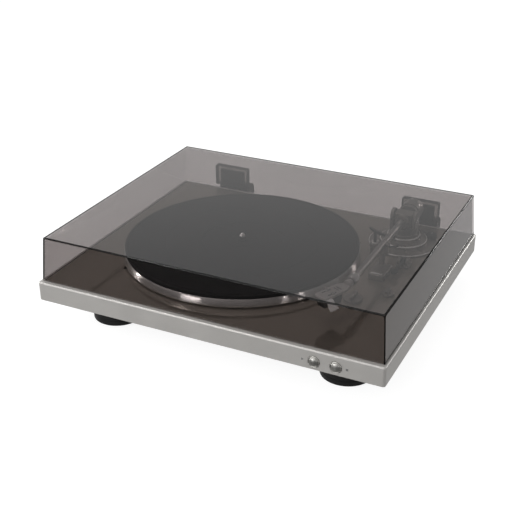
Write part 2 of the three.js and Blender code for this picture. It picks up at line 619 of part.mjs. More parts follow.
// ---------------------------------------------------------------- cover and hinges
function dustCover() {
  const x = halfWidth - COVER.sideInset;
  const front = -halfDepth + COVER.frontInset;
  const back = halfDepth - COVER.backInset;
  const middle = (front + back) / 2;
  const { bottom, top, draft, wall, corner } = COVER;
  const outside = drafted(slab(-x, front, x, back, corner, bottom, top), middle, bottom, top, draft);
  const hollow = drafted(
    slab(-x + wall, front + wall, x - wall, back - wall, corner - 2, bottom - 0.5, top - wall),
    middle, bottom, top, draft,
  );
  let cover = cut(outside, hollow);
  for (const [, sign] of sides) {
    const c = sign * HINGE.x;
    const half = POCKET.width / 2;
    const slot = POCKET.slotWidth / 2;
    cover = join(cover, box(c - half, back - 3, POCKET.bottom, c + half, POCKET.back, POCKET.top));
    cover = cut(
      cover, box(c - slot, POCKET.slotFront, POCKET.bottom - 1, c + slot, POCKET.slotBack, BLADE.top + GAP),
    );
  }
  return cover;
}

function alongX(from, to, y, z, radius, segments = SMALL) {
  return turnedAlong('x', from, y, z, [[0, 0], [radius, 0], [radius, to - from], [0, to - from]], segments);
}

function hingeLeaf(c) {
  const { halfWidth: half, front, back, bottom, shoulder, top, footTop } = BLADE;
  const foot = HINGE.earFrom - 0.6;
  const leaf = join(
    box(c - half, front, shoulder, c + half, back, top),
    box(c - foot, front, bottom, c + foot, back, shoulder + 1),
    box(c - foot, front, bottom, c + foot, HINGE.y, footTop),
    alongX(c - foot, c + foot, HINGE.y, HINGE.z, HINGE.knuckle, 20),
  );
  return cut(leaf, alongX(c - 15, c + 15, HINGE.y, HINGE.z, HINGE.pin + GAP));
}

function hingeBase(c) {
  const { y, z, ear, earFrom, earTo } = HINGE;
  const front = halfDepth + GAP;
  const plate = box(c - earTo, front, -21, c + earTo, front + 3.4, z - 1);
  const ears = [[-earTo, -earFrom], [earFrom, earTo]].flatMap(([from, to]) => [
    alongX(c + from, c + to, y, z, ear, 20),
    box(c + from, front, z - ear, c + to, y, z - 1),
  ]);
  const web = box(c - earTo, front + 1, -21, c + earTo, y, z - ear + 0.6);
  return cut(join(plate, ...ears, web), alongX(c - earTo - 2, c + earTo + 2, y, z, HINGE.pin + GAP));
}

add('dust_cover', dustCover(), smoked());
for (const [side, sign] of sides) {
  const c = sign * HINGE.x;
  add(`hinge_leaf_${side}`, hingeLeaf(c), blackPlastic());
  add(`hinge_base_${side}`, hingeBase(c), blackPlastic());
  add(`hinge_pin_${side}`, alongX(c - HINGE.earTo, c + HINGE.earTo, HINGE.y, HINGE.z, HINGE.pin), steel());
}

// ---------------------------------------------------------------- stand the player on its feet
const back = HINGE.y + HINGE.ear;
const front = -halfDepth - BUTTON.proud;
const player = new THREE.Group();
player.add(model);
model.position.set(0, -(front + back) / 2, -footBottom);

export default player;
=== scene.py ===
"""Looks of an automatic belt-drive record player with a closed smoked cover.

Shapes are drawn in millimetres from the middle of the plinth's top, +X right, +Y to the rear, +Z up.
"""

import json
import math

import bmesh
import bpy
from mathutils import Matrix, Vector


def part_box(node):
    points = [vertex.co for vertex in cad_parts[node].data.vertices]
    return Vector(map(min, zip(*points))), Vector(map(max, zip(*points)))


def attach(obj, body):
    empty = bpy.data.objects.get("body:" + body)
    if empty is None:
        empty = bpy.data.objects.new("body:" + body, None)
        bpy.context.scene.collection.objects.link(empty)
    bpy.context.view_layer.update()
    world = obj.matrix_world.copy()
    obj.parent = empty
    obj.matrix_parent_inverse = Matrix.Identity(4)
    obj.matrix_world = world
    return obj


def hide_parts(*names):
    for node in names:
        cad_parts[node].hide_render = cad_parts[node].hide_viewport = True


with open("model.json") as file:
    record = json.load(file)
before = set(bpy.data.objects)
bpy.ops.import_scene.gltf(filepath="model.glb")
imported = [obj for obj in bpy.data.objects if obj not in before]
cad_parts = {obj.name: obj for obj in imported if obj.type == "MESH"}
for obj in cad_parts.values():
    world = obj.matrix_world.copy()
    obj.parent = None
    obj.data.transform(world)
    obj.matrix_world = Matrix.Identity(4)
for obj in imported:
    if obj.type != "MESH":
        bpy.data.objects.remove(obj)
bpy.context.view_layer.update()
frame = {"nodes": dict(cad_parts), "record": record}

MM = 0.001
plinth_low, plinth_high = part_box("plinth_frame")
ORIGIN = Vector(((plinth_low.x + plinth_high.x) / 2, (plinth_low.y + plinth_high.y) / 2, plinth_high.z))


def span(node):
    """Lowest and highest corner of a CAD node, in the drawing's millimetres."""
    low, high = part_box(node)
    return (low - ORIGIN) / MM, (high - ORIGIN) / MM


def middle(node):
    low, high = span(node)
    return (low + high) / 2


# ------------------------------------------------------------------ camera, light and floor
def add_camera(azimuth, elevation, roll, distance, focal, target):
    a, e, r = (math.radians(angle) for angle in (azimuth, elevation, roll))
    back = Vector((math.sin(a) * math.cos(e), -math.cos(a) * math.cos(e), math.sin(e)))
    right = Vector((math.cos(a), math.sin(a), 0))
    up = back.cross(right)
    turned_right = right * math.cos(r) + up * math.sin(r)
    turned_up = up * math.cos(r) - right * math.sin(r)
    data = bpy.data.cameras.new("camera")
    data.sensor_width = 36
    data.lens = focal
    data.clip_start = 0.05
    data.clip_end = 60
    camera = bpy.data.objects.new("camera", data)
    bpy.context.scene.collection.objects.link(camera)
    place = Matrix((turned_right, turned_up, back)).transposed().to_4x4()
    place.translation = ORIGIN + (Vector(target) + back * distance) * MM
    camera.matrix_world = place
    bpy.context.scene.camera = camera


add_camera(25.88, 27.04, -0.25, 1218.5, 67.513, (-4.5, -5.4, -5.7))


def add_node(tree, kind, settings=None, **inputs):
    node = tree.nodes.new("ShaderNode" + kind)
    for key, value in (settings or {}).items():
        setattr(node, key, value)
    for key, value in inputs.items():
        socket = node.inputs[int(key[1:]) if key[1:].isdigit() else key.replace("_", " ")]
        if isinstance(value, bpy.types.NodeSocket):
            tree.links.new(value, socket)
        else:
            socket.default_value = value
    return node


def studio_world():
    """A pale studio: bright overhead and to the rear, dimmer to the right, dim below the horizon at the
    front.
    """
    world = bpy.data.worlds.new("studio")
    bpy.context.scene.world = world
    world.use_nodes = True
    tree = world.node_tree
    background = tree.nodes["Background"]
    way = add_node(tree, "TexCoord").outputs["Generated"]
    parts = add_node(tree, "SeparateXYZ", Vector=way)
    upper = add_node(tree, "ValToRGB", Fac=parts.outputs["Z"])
    ramp = upper.color_ramp
    ramp.elements[0].position, ramp.elements[0].color = 0.0, (0.80, 0.80, 0.80, 1)
    ramp.elements[1].position, ramp.elements[1].color = 1.0, (1.1, 1.1, 1.1, 1)
    for position, grey in ((0.25, 0.66), (0.45, 0.60), (0.62, 0.60), (0.8, 0.7)):
        ramp.elements.new(position).color = (grey, grey, grey, 1)
    lower = add_node(tree, "MapRange", Value=parts.outputs["Y"])
    for key, value in (("From Min", -0.7), ("From Max", 0.7), ("To Min", 0.08), ("To Max", 0.5)):
        lower.inputs[key].default_value = value
    below = add_node(tree, "Math", {"operation": "LESS_THAN"}, _0=parts.outputs["Z"], _1=0.0)
    room = add_node(
        tree, "Mix", {"data_type": "RGBA"}, _0=below.outputs[0], _6=upper.outputs[0], _7=lower.outputs[0],
    )
    side = add_node(tree, "MapRange", Value=parts.outputs["X"])
    for key, value in (("From Min", 0.0), ("From Max", 1.0), ("To Min", 1.0), ("To Max", 0.42)):
        side.inputs[key].default_value = value
    room = add_node(
        tree, "Mix", {"data_type": "RGBA", "blend_type": "MULTIPLY"},
        _0=1.0, _6=room.outputs[2], _7=side.outputs[0],
    )
    seen = add_node(tree, "LightPath").outputs["Is Camera Ray"]
    plain = add_node(tree, "Mix", {"data_type": "RGBA"}, _0=seen, _6=room.outputs[2], _7=(1.0, 1.0, 1.0, 1))
    tree.links.new(plain.outputs[2], background.inputs["Color"])


def add_light(name, place, target, size, watts, fill=True, shine=True):
    """A softbox; one that only fills gives no highlights, one that only shines gives nothing else."""
    data = bpy.data.lights.new(name, "AREA")
    data.shape = "RECTANGLE"
    data.size, data.size_y = size
    data.energy = watts
    light = bpy.data.objects.new(name, data)
    bpy.context.scene.collection.objects.link(light)
    light.location = place
    light.rotation_euler = (Vector(target) - Vector(place)).to_track_quat("-Z", "Y").to_euler()
    light.visible_camera = False
    light.visible_diffuse = fill
    light.visible_glossy = shine


def add_strip(name, azimuth, width, watts, distance=2.4, height=0.30, tall=0.56):
    """A narrow softbox standing on the floor around the object, at an azimuth in degrees from +X."""
    angle = math.radians(azimuth)
    place = (distance * math.cos(angle), distance * math.sin(angle), height)
    add_light(name, place, (0, 0, height), (width, tall), watts, fill=False)


def pale_floor():
    floor_mesh = bpy.data.meshes.new("floor")
    build = bmesh.new()
    bmesh.ops.create_grid(build, x_segments=8, y_segments=8, size=6)
    build.to_mesh(floor_mesh)
    build.free()
    floor = bpy.data.objects.new("floor", floor_mesh)
    bpy.context.scene.collection.objects.link(floor)
    material = bpy.data.materials.new("pale_floor")
    material.use_nodes = True
    shader = material.node_tree.nodes["Principled BSDF"]
    shader.inputs["Base Color"].default_value = (0.22, 0.22, 0.22, 1)
    shader.inputs["Roughness"].default_value = 1
    shader.inputs["Specular IOR Level"].default_value = 0
    shader.inputs["Emission Color"].default_value = (1, 1, 1, 1)
    shader.inputs["Emission Strength"].default_value = 0.9
    floor_mesh.materials.append(material)
    floor.visible_glossy = False


studio_world()
add_light("overhead", (-0.5, 0.1, 1.8), (0, 0, 0), (1.4, 1.2), 8)
add_light("front_fill", (-1.1, -1.5, 0.9), (-0.1, 0, 0.05), (1.0, 1.0), 21, shine=False)
add_light("top_left", (-0.96, -0.5, 1.68), (0, -0.1, 0.1), (0.28, 0.15), 5, fill=False)
add_light("rear_right", (0.95, 1.72, 0.56), (0.1, 0, 0.05), (0.28, 0.16), 9, fill=False)
add_strip("strip_left", -170.5, 0.20, 17, height=0.17, tall=0.30)
add_strip("strip_front", -109.5, 0.70, 8, height=0.25, tall=0.36)
add_strip("strip_right_front", -27, 0.09, 2.4, height=0.52, tall=0.12)
add_strip("strip_right", -11.7, 0.09, 2.6, height=0.52, tall=0.12)
pale_floor()
bpy.context.scene.view_settings.view_transform = "Standard"


# ------------------------------------------------------------------ materials
class Look:
    """A Principled material and short ways to make the patterns that drive it."""

    def __init__(self, name, **sockets):
        self.material = bpy.data.materials.new(name)
        self.material.use_nodes = True
        self.tree = self.material.node_tree
        self.shader = self.tree.nodes["Principled BSDF"]
        self.place = self.node("TexCoord").outputs["Object"]
        for key, value in sockets.items():
            self.shader.inputs[key.replace("_", " ")].default_value = value

    def node(self, kind, settings=None, **inputs):
        return add_node(self.tree, kind, settings, **inputs)

    def noise(self, scale, detail=3.0, stretch=(1, 1, 1), roughness=0.55):
        mapped = self.node("Mapping", Vector=self.place)
        mapped.inputs["Scale"].default_value = stretch
        return self.node(
            "TexNoise", Vector=mapped.outputs[0], Scale=scale, Detail=detail, Roughness=roughness,
        ).outputs["Fac"]

    def level(self, value, low, high, out_low, out_high):
        node = self.node("MapRange", Value=value)
        for index, number in zip((1, 2, 3, 4), (low, high, out_low, out_high)):
            node.inputs[index].default_value = number
        return node.outputs[0]

    def maths(self, operation, first, second=0.0):
        return self.node("Math", {"operation": operation}, _0=first, _1=second).outputs[0]

    def mix(self, factor, first, second):
        return self.node("Mix", {"data_type": "RGBA"}, _0=factor, _6=first, _7=second).outputs[2]

    def radius(self, centre):
        """Distance from a vertical axis, in metres; centre is in the drawing's millimetres."""
        point = ORIGIN + Vector((centre[0], centre[1], 0)) * MM
        moved = self.node("VectorMath", {"operation": "SUBTRACT"}, _0=self.place, _1=(point.x, point.y, 0))
        flat = self.node("VectorMath", {"operation": "MULTIPLY"}, _0=moved.outputs[0], _1=(1, 1, 0))
        return self.node("VectorMath", {"operation": "LENGTH"}, _0=flat.outputs[0]).outputs["Value"]

    def colour(self, first, second, factor):
        self.tree.links.new(self.mix(factor, (*first, 1), (*second, 1)), self.shader.inputs["Base Color"])
        return self

    def rough(self, value):
        self.tree.links.new(value, self.shader.inputs["Roughness"])
        return self

    def bump(self, *layers):
        """Each layer is (height socket, distance in metres)."""
        normal = None
        for height, distance in layers:
            node = self.node("Bump", Height=height, Distance=distance, Strength=1.0)
            if normal is not None:
                self.tree.links.new(normal, node.inputs["Normal"])
            normal = node.outputs["Normal"]
        self.tree.links.new(normal, self.shader.inputs["Normal"])
        return self


def metallic_paint(name, colour, metallic, roughness, flake=0.05, coat=0.15):
    """Silver or dark paint with fine flake, soft cloudiness and slight wear in its gloss."""
    look = Look(name, Metallic=metallic, Coat_Weight=coat, Coat_Roughness=0.12)
    flakes = look.noise(4200, 2)
    cloud = look.noise(9, 4)
    mixed = look.maths("ADD", look.maths("MULTIPLY", flakes, 0.7), look.maths("MULTIPLY", cloud, 0.3))
    dark = tuple(c * (1 - flake) for c in colour)
    light = tuple(min(1, c * (1 + flake)) for c in colour)
    look.colour(dark, light, look.level(mixed, 0.35, 0.65, 0, 1))
    look.rough(look.level(look.noise(34, 5), 0.3, 0.7, roughness - 0.05, roughness + 0.06))
    return look.bump((look.noise(1500, 2), 0.000006), (look.noise(60, 2), 0.000004)).material


def brushed_metal(name, colour, roughness, stretch, scale=900):
    """Metal brushed along one axis, with streaks in its colour and gloss."""
    look = Look(name, Metallic=1.0, Anisotropic=0.35)
    streaks = look.noise(scale, 4, stretch)
    look.colour(tuple(c * 0.86 for c in colour), colour, look.level(streaks, 0.3, 0.7, 0, 1))
    look.rough(look.level(look.noise(scale * 0.7, 3, stretch), 0.3, 0.7, roughness * 0.75, roughness * 1.3))
    return look.bump((streaks, 0.000008)).material


def turned_metal(name, colour, roughness, centre, axis="Z", anisotropic=0.85):
    """Metal turned on a lathe, which spreads its highlights across the turning marks."""
    look = Look(name, Metallic=1.0, Anisotropic=anisotropic, Anisotropic_Rotation=0.25)
    around = look.node("Tangent", {"direction_type": "RADIAL", "axis": axis})
    look.tree.links.new(around.outputs[0], look.shader.inputs["Tangent"])
    radius = look.radius(centre)
    lines = look.node(
        "TexNoise", {"noise_dimensions": "1D"}, W=radius, Scale=5200.0, Detail=3.0).outputs["Fac"]
    smudge = look.noise(26, 5)
    look.colour(tuple(c * 0.9 for c in colour), colour, look.level(lines, 0.3, 0.7, 0, 1))
    look.rough(look.level(smudge, 0.3, 0.75, roughness * 0.85, roughness * 1.2))
    return look.bump((lines, 0.000004), (smudge, 0.000006)).material


def moulded_plastic(name, colour, roughness, grain=0.000025, specular=0.45):
    """Moulded plastic with a fine grain, faint flow marks and rubbed patches."""
    look = Look(name, Specular_IOR_Level=specular)
    cloud = look.noise(40, 4)
    look.colour(tuple(c * 0.82 for c in colour), tuple(min(1, c * 1.2) for c in colour), cloud)
    look.rough(look.level(look.noise(70, 5), 0.3, 0.7, roughness - 0.07, roughness + 0.08))
    return look.bump((look.noise(1900, 3), grain), (look.noise(150, 2), grain)).material


def rubber_mat(name, centre):
    """Matt rubber with fine moulded rings and a little dust."""
    look = Look(name, Specular_IOR_Level=0.18)
    radius = look.radius(centre)
    rings = look.maths("SINE", look.maths("MULTIPLY", radius, 2 * math.pi / 0.0025))
    dust = look.noise(420, 6, roughness=0.75)
    look.colour((0.0075, 0.0075, 0.008), (0.022, 0.021, 0.021), look.level(dust, 0.45, 0.8, 0, 1))
    look.rough(look.level(look.noise(22, 4), 0.3, 0.7, 0.56, 0.72))
    return look.bump((rings, 0.00001), (look.noise(500, 2), 0.000004)).material


def smoked_plastic(name, tint, mirror=1.4, gloss=1.0):
    """Clear smoked acrylic as two skins: each lets `tint` through, and the near one mirrors far more."""
    look = Look(name)
    look.tree.nodes.remove(look.shader)
    away = look.node("NewGeometry").outputs["Backfacing"]
    slope = look.node("LayerWeight", Blend=0.5).outputs["Facing"]
    glance = look.maths(
        "ADD", look.maths("MULTIPLY", look.maths("POWER", slope, 5.0), 0.96 * mirror), 0.04 * mirror)
    haze = look.level(look.noise(13, 4), 0.35, 0.75, 0, 1)
    clear = look.node("BsdfTransparent", Color=look.mix(haze, (*tint, 1), (*(c * 0.985 for c in tint), 1)))
    smear = look.level(look.noise(30, 6, (1, 2.5, 1)), 0.3, 0.8, 0.015, 0.06)
    skin = look.mix(away, (gloss, gloss, gloss, 1), (0.06, 0.06, 0.06, 1))
    shine = look.node("BsdfAnisotropic", Color=skin, Roughness=smear)
    body = look.node(
        "MixShader", _0=look.maths("MINIMUM", glance, 1.0), _1=clear.outputs[0], _2=shine.outputs[0])
    look.tree.links.new(body.outputs[0], look.tree.nodes["Material Output"].inputs["Surface"])
    return look.material


PLATTER = middle("platter")
SILVER = metallic_paint("silver_paint", (0.505, 0.49, 0.47), 0.55, 0.44, coat=0.12)
SHELL_PAINT = metallic_paint("shell_paint", (0.40, 0.385, 0.37), 0.5, 0.35)
DECK = metallic_paint("deck_paint", (0.300, 0.266, 0.228), 0.45, 0.10, 0.03)
DARK = metallic_paint("arm_paint", (0.230, 0.212, 0.190), 0.5, 0.24, 0.05)
RIM = turned_metal("polished_rim", (0.83, 0.83, 0.82), 0.20, PLATTER)
RUBBER = rubber_mat("mat_rubber", PLATTER)
PAD = moulded_plastic("pad_rubber", (0.016, 0.016, 0.016), 0.85, 0.00005, 0.2)
BLACK = moulded_plastic("black_plastic", (0.011, 0.011, 0.0113), 0.44, specular=0.35)
PIANO = moulded_plastic("gloss_black", (0.010, 0.010, 0.011), 0.22, 0.000006)
CARTRIDGE = moulded_plastic("cartridge_plastic", (0.050, 0.046, 0.043), 0.32, 0.000008)
GREY = metallic_paint("grey_plastic", (0.22, 0.208, 0.192), 0.45, 0.30)
SATIN = brushed_metal("satin_aluminium", (0.60, 0.60, 0.59), 0.2, (1, 0.03, 1))
ARM_METAL = brushed_metal("arm_metal", (0.40, 0.39, 0.375), 0.36, (1, 0.03, 1))
CAP = turned_metal("button_metal", (0.62, 0.61, 0.58), 0.42, (0, 0), "Y", 0.3)
# Pale silver paint: the finger lift's own colour, and painted highlights on the spindle's tip, the arm base's
# step edges and the arm rest's front edge.
PALE_SILVER_AND_HIGHLIGHT = metallic_paint("pale_silver_and_painted_highlight", (0.85, 0.85, 0.84), 0.6, 0.35)
CHROME = brushed_metal("chrome_side", (0.62, 0.62, 0.61), 0.12, (1, 1, 0.05))
STEEL = brushed_metal("steel", (0.62, 0.63, 0.64), 0.3, (1, 0.05, 1))
PLATED = brushed_metal("nickel_plate", (0.66, 0.66, 0.64), 0.26, (1, 1, 0.1))
BRASS = brushed_metal("brass", (0.75, 0.56, 0.24), 0.28, (1, 0.06, 1))
NYLON = moulded_plastic("nylon", (0.80, 0.77, 0.70), 0.5)
BOARD = moulded_plastic("circuit_board", (0.020, 0.095, 0.045), 0.45)
WHITE = moulded_plastic("white_plastic", (0.75, 0.75, 0.73), 0.4)
RED = moulded_plastic("red_plastic", (0.45, 0.02, 0.015), 0.4)
SMOKE = smoked_plastic("smoked_acrylic", (0.722, 0.702, 0.699))
# Near-black tint and weak mirror for the cover's rounded edges and pocket walls: painted shade for the dark
# lines that refraction draws there.
SMOKE_EDGE_SHADE = smoked_plastic("smoked_acrylic_edge_painted_shade", (0.045, 0.043, 0.042), 0.9, 0.5)
# Darker band on strips beside the cover's rear top edges and its front-left corner: painted shade.
SMOKE_SHADE_BAND = smoked_plastic("smoked_acrylic_painted_shade_band", (0.36, 0.35, 0.345))
SMOKE_DEEP = smoked_plastic("smoked_acrylic_pocket", (0.62, 0.60, 0.585))
PRINT = moulded_plastic("grey_print", (0.12, 0.12, 0.12), 0.6)


# ------------------------------------------------------------------ shapes
def rounded_rectangle(x0, y0, x1, y1, radius, steps=6):
    points = []
    corners = ((x1 - radius, y1 - radius, 0), (x0 + radius, y1 - radius, 90),
               (x0 + radius, y0 + radius, 180), (x1 - radius, y0 + radius, 270))
    for cx, cy, start in corners:
        for step in range(steps + 1):
            angle = math.radians(start + 90 * step / steps)
            points.append((cx + radius * math.cos(angle), cy + radius * math.sin(angle)))
    return points


def shrunk(points, inset):
    """An outline moved inwards, corner by corner."""
    if abs(inset) < 1e-9:
        return list(points)
    moved = []
    count = len(points)
    for i, (x, y) in enumerate(points):
        before = Vector((x - points[i - 1][0], y - points[i - 1][1])).normalized()
        after = Vector((points[(i + 1) % count][0] - x, points[(i + 1) % count][1] - y)).normalized()
        left = Vector((-before.y - after.y, before.x + after.x))
        if left.length < 1e-6:
            left = Vector((-before.y, before.x))
        left.normalize()
        reach = inset / max(0.4, left.dot(Vector((-before.y, before.x))))
        moved.append((x + left.x * reach, y + left.y * reach))
    return moved


class Build:
    """Closed shells collected into one mesh. A shell may be placed by a matrix and given a material index."""

    def __init__(self):
        self.points = []
        self.faces = []
        self.indices = []

    def shell(self, points, faces, place=None, material=0):
        start = len(self.points)
        self.points += [(place @ Vector(p)) if place else Vector(p) for p in points]
        self.faces += [[start + i for i in face] for face in faces]
        self.indices += [material] * len(faces)
        return self

    def loft(self, rings, place=None, material=0, closed=False, materials=None):
        """Joins rings of equal length; the ends are capped unless the rings close on themselves."""
        count = len(rings[0])
        faces = []
        kinds = []
        pairs = len(rings) if closed else len(rings) - 1
        for r in range(pairs):
            a, b = r * count, ((r + 1) % len(rings)) * count
            for i in range(count):
                j = (i + 1) % count
                faces.append([a + i, a + j, b + j, b + i])
                kinds.append(materials[r] if materials else material)
        if not closed:
            last = (len(rings) - 1) * count
            faces.append(list(range(count - 1, -1, -1)))
            faces.append([last + i for i in range(count)])
            kinds += [material, material]
        start = len(self.indices)
        self.shell([p for ring in rings for p in ring], faces, place, material)
        self.indices[start:] = kinds
        return self

    def prism(self, outline, low, high, edge=0.4, steps=3, place=None, material=0, top=None):
        """An outline raised from low to high with rounded edges; `top` rounds the upper edge differently."""
        upper = edge if top is None else top
        rings = []
        for k in range(steps + 1):
            turn = math.pi / 2 * k / steps
            ring = shrunk(outline, edge * (1 - math.sin(turn)))
            rings.append([(x, y, low + edge * (1 - math.cos(turn))) for x, y in ring])
        for k in range(steps + 1):
            turn = math.pi / 2 * k / steps
            ring = shrunk(outline, upper * (1 - math.cos(turn)))
            rings.append([(x, y, high - upper * (1 - math.sin(turn))) for x, y in ring])
        return self.loft(rings, place, material)

    def block(self, low, high, edge=0.4, corner=0.0, place=None, material=0):
        radius = max(corner, edge)
        outline = rounded_rectangle(low[0], low[1], high[0], high[1], radius, 4)
        return self.prism(outline, low[2], high[2], edge, 3, place, material)

    def lathe(self, profile, count=96, place=None, material=0, teeth=None, materials=None):
        """Turns [radius, height] pairs about Z. teeth is (number, depth, first, last) for a knurled band."""
        rings = []
        for index, (radius, height) in enumerate(profile):
            ring = []
            for i in range(count):
                angle = 2 * math.pi * i / count
                r = radius
                if teeth and teeth[2] <= index <= teeth[3]:
                    r -= teeth[1] * (0.5 - 0.5 * math.cos(angle * teeth[0]))
                ring.append((r * math.cos(angle), r * math.sin(angle), height))
            rings.append(ring)
        closed = profile[0][0] > 0.01
        return self.loft(rings, place, material, closed, materials)

    def finish(self, name, body, materials, replaces=(), slot=None, angle=32):
        mesh = bpy.data.meshes.new(name)
        mesh.from_pydata([ORIGIN + point * MM for point in self.points], [], self.faces)
        for material in materials:
            mesh.materials.append(material)
        for polygon, index in zip(mesh.polygons, self.indices):
            polygon.material_index = index
        return settle(name, mesh, body, replaces, angle)


def settle(name, mesh, body, replaces=(), angle=32):
    """Makes the object, with its faces turned outwards, its flat faces flat and its curved ones smooth."""
    clean = bmesh.new()
    clean.from_mesh(mesh)
    bmesh.ops.remove_doubles(clean, verts=clean.verts, dist=1e-7)
    bmesh.ops.recalc_face_normals(clean, faces=clean.faces)
    clean.to_mesh(mesh)
    clean.free()
    mesh.shade_smooth()
    mesh.set_sharp_from_angle(angle=math.radians(angle))
    piece = bpy.data.objects.new(name, mesh)
    bpy.context.scene.collection.objects.link(piece)
    weighted = piece.modifiers.new("flat_faces", "WEIGHTED_NORMAL")
    weighted.keep_sharp = True
    weighted.weight = 80
    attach(piece, body)
    if replaces:
        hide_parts(*replaces)
    return piece


BODY_OF = {node: body for body, nodes in frame["record"]["behaviour"]["bodies"].items() for node in nodes}
SLOT_OF = {part["node"]: part["material_slot"] for part in frame["record"]["subparts"]}


def stand_in(build, node, *materials, name=None, angle=32):
    """Finishes a detailed piece that takes a CAD node's place."""
    return build.finish(name or node + "_shown", BODY_OF[node], materials, (node,), SLOT_OF[node], angle)


def softened(node, material, width=0.35, steps=2):
    """A CAD node's own shape with its flat faces merged and its edges rounded."""
    mesh = frame["nodes"][node].data.copy()
    mesh.materials.clear()
    mesh.materials.append(material)
    work = bmesh.new()
    work.from_mesh(mesh)
    bmesh.ops.remove_doubles(work, verts=work.verts, dist=2e-6)
    bmesh.ops.dissolve_limit(
        work, angle_limit=math.radians(1), verts=work.verts, edges=work.edges, use_dissolve_boundaries=False,
    )
    sharp = [e for e in work.edges if len(e.link_faces) == 2 and e.calc_face_angle(0) > math.radians(40)]
    bmesh.ops.bevel(
        work, geom=sharp, offset=width * MM, segments=steps, profile=0.5, affect="EDGES", clamp_overlap=True,
    )
    work.to_mesh(mesh)
    work.free()
    for polygon in mesh.polygons:
        polygon.material_index = 0
    return settle(node + "_shown", mesh, BODY_OF[node], (node,), 40)


def without(piece, *cutters):
    """Cuts shapes out of a piece and removes them."""
    for cutter in cutters:
        cut = piece.modifiers.new("cut", "BOOLEAN")
        cut.operation = "DIFFERENCE"
        cut.solver = "EXACT"
        cut.object = cutter
    weighted = piece.modifiers["flat_faces"]
    piece.modifiers.remove(weighted)
    bpy.context.view_layer.update()
    shown = piece.evaluated_get(bpy.context.evaluated_depsgraph_get())
    mesh = bpy.data.meshes.new_from_object(shown)
    piece.modifiers.clear()
    old = piece.data
    piece.data = mesh
    bpy.data.meshes.remove(old)
    mesh.shade_smooth()
    mesh.set_sharp_from_angle(angle=math.radians(32))
    again = piece.modifiers.new("flat_faces", "WEIGHTED_NORMAL")
    again.keep_sharp = True
    again.weight = 80
    for cutter in cutters:
        bpy.data.objects.remove(cutter)
    return piece


def cutter(build):
    mesh = bpy.data.meshes.new("cutter")
    mesh.from_pydata([ORIGIN + point * MM for point in build.points], [], build.faces)
    work = bmesh.new()
    work.from_mesh(mesh)
    bmesh.ops.recalc_face_normals(work, faces=work.faces)
    work.to_mesh(mesh)
    work.free()
    thing = bpy.data.objects.new("cutter", mesh)
    bpy.context.scene.collection.objects.link(thing)
    return thing


def at(x, y, z):
    return Matrix.Translation((x, y, z))


ALONG_Y = Matrix.Rotation(math.radians(-90), 4, "X")
ALONG_X = Matrix.Rotation(math.radians(90), 4, "Y")


def rounded(radius, low, high, edge=0.5, steps=3):
    """Profile of a disc from low to high with rounded rims."""
    profile = [(0, low)]
    for k in range(steps + 1):
        turn = math.pi / 2 * k / steps
        profile.append((radius - edge * (1 - math.sin(turn)), low + edge * (1 - math.cos(turn))))
    for k in range(steps + 1):
        turn = math.pi / 2 * k / steps
        profile.append((radius - edge * (1 - math.cos(turn)), high - edge * (1 - math.sin(turn))))
    return profile + [(0, high)]


# ------------------------------------------------------------------ plinth, deck and feet
def make_plinth():
    low, high = span("plinth_frame")
    top, bottom = high.z, low.z
    rings = []

    def ring(side, front, back, radius, z):
        rings.append([
            (x, y, z) for x, y in rounded_rectangle(
                low.x + side, low.y + front, high.x - side, high.y - back, max(radius, 0.3), 8)
        ])

    edge = 1.7
    for k in range(5):
        turn = math.pi / 2 * k / 4
        inset = 1.0 * (1 - math.sin(turn))
        ring(inset, inset, inset, 3.4 - inset, bottom + 1.0 * (1 - math.cos(turn)))
    for k in range(6):
        turn = math.pi / 2 * k / 5
        inset = edge * (1 - math.cos(turn))
        ring(inset, inset, inset, 3.4 - inset, top - edge * (1 - math.sin(turn)))
    for drop in (0.0, 0.12, 0.3):
        out = 0.3 * (1 - drop / 0.3) if drop else 0.3
        ring(4.6 - out, 7 - out, 4.6 - out, 3 + out, top - drop)
    ring(4.6, 7, 4.6, 3, bottom + 3)
    ring(30, 30, 30, 8, bottom + 3)
    ring(30, 30, 30, 8, bottom)
    plinth = stand_in(Build().loft(rings, closed=True), "plinth_frame", SILVER)
    holes = []
    for name in ("start_button", "stop_button"):
        spot = middle(name)
        hole = Build().lathe(
            [(0, -4), (7.05, -4), (7.05, 12), (0, 12)], 48, at(spot.x, low.y, spot.z) @ ALONG_Y)
        holes.append(cutter(hole))
    panel_low, panel_high = span("rear_panel")
    opening = rounded_rectangle(
        panel_low.x - 0.4, panel_low.z - 0.4, panel_high.x + 0.4, panel_high.z + 0.4, 0.8, 4)
    window = Build().loft([[(x, y, z) for x, z in opening] for y in (high.y - 8, high.y + 2)])
    return without(plinth, *holes, cutter(window))


def make_deck():
    low, high = span("deck_plate")
    top = high.z
    under = top - 5.4
    cx, cy = PLATTER.x, PLATTER.y
    outer = rounded_rectangle(low.x, low.y, high.x, high.y, 3, 31)
    well = 151.5
    angles = [math.atan2(y - cy, x - cx) for x, y in outer]

    def round_ring(radius, z):
        return [(cx + radius * math.cos(a), cy + radius * math.sin(a), z) for a in angles]

    def square_ring(inset, z):
        return [(x, y, z) for x, y in shrunk(outer, inset)]

    rings = [
        round_ring(13, under), square_ring(0.4, under), square_ring(0, under + 0.4),
        square_ring(0, top - 0.4), square_ring(0.12, top - 0.12), square_ring(0.4, top),
        round_ring(well + 0.5, top), round_ring(well + 0.15, top - 0.15), round_ring(well, top - 0.5),
        round_ring(well, top - 1.9), round_ring(well - 0.4, top - 2.2), round_ring(13, top - 2.2),
    ]
    return stand_in(Build().loft(rings, closed=True), "deck_plate", DECK)


make_plinth()
make_deck()

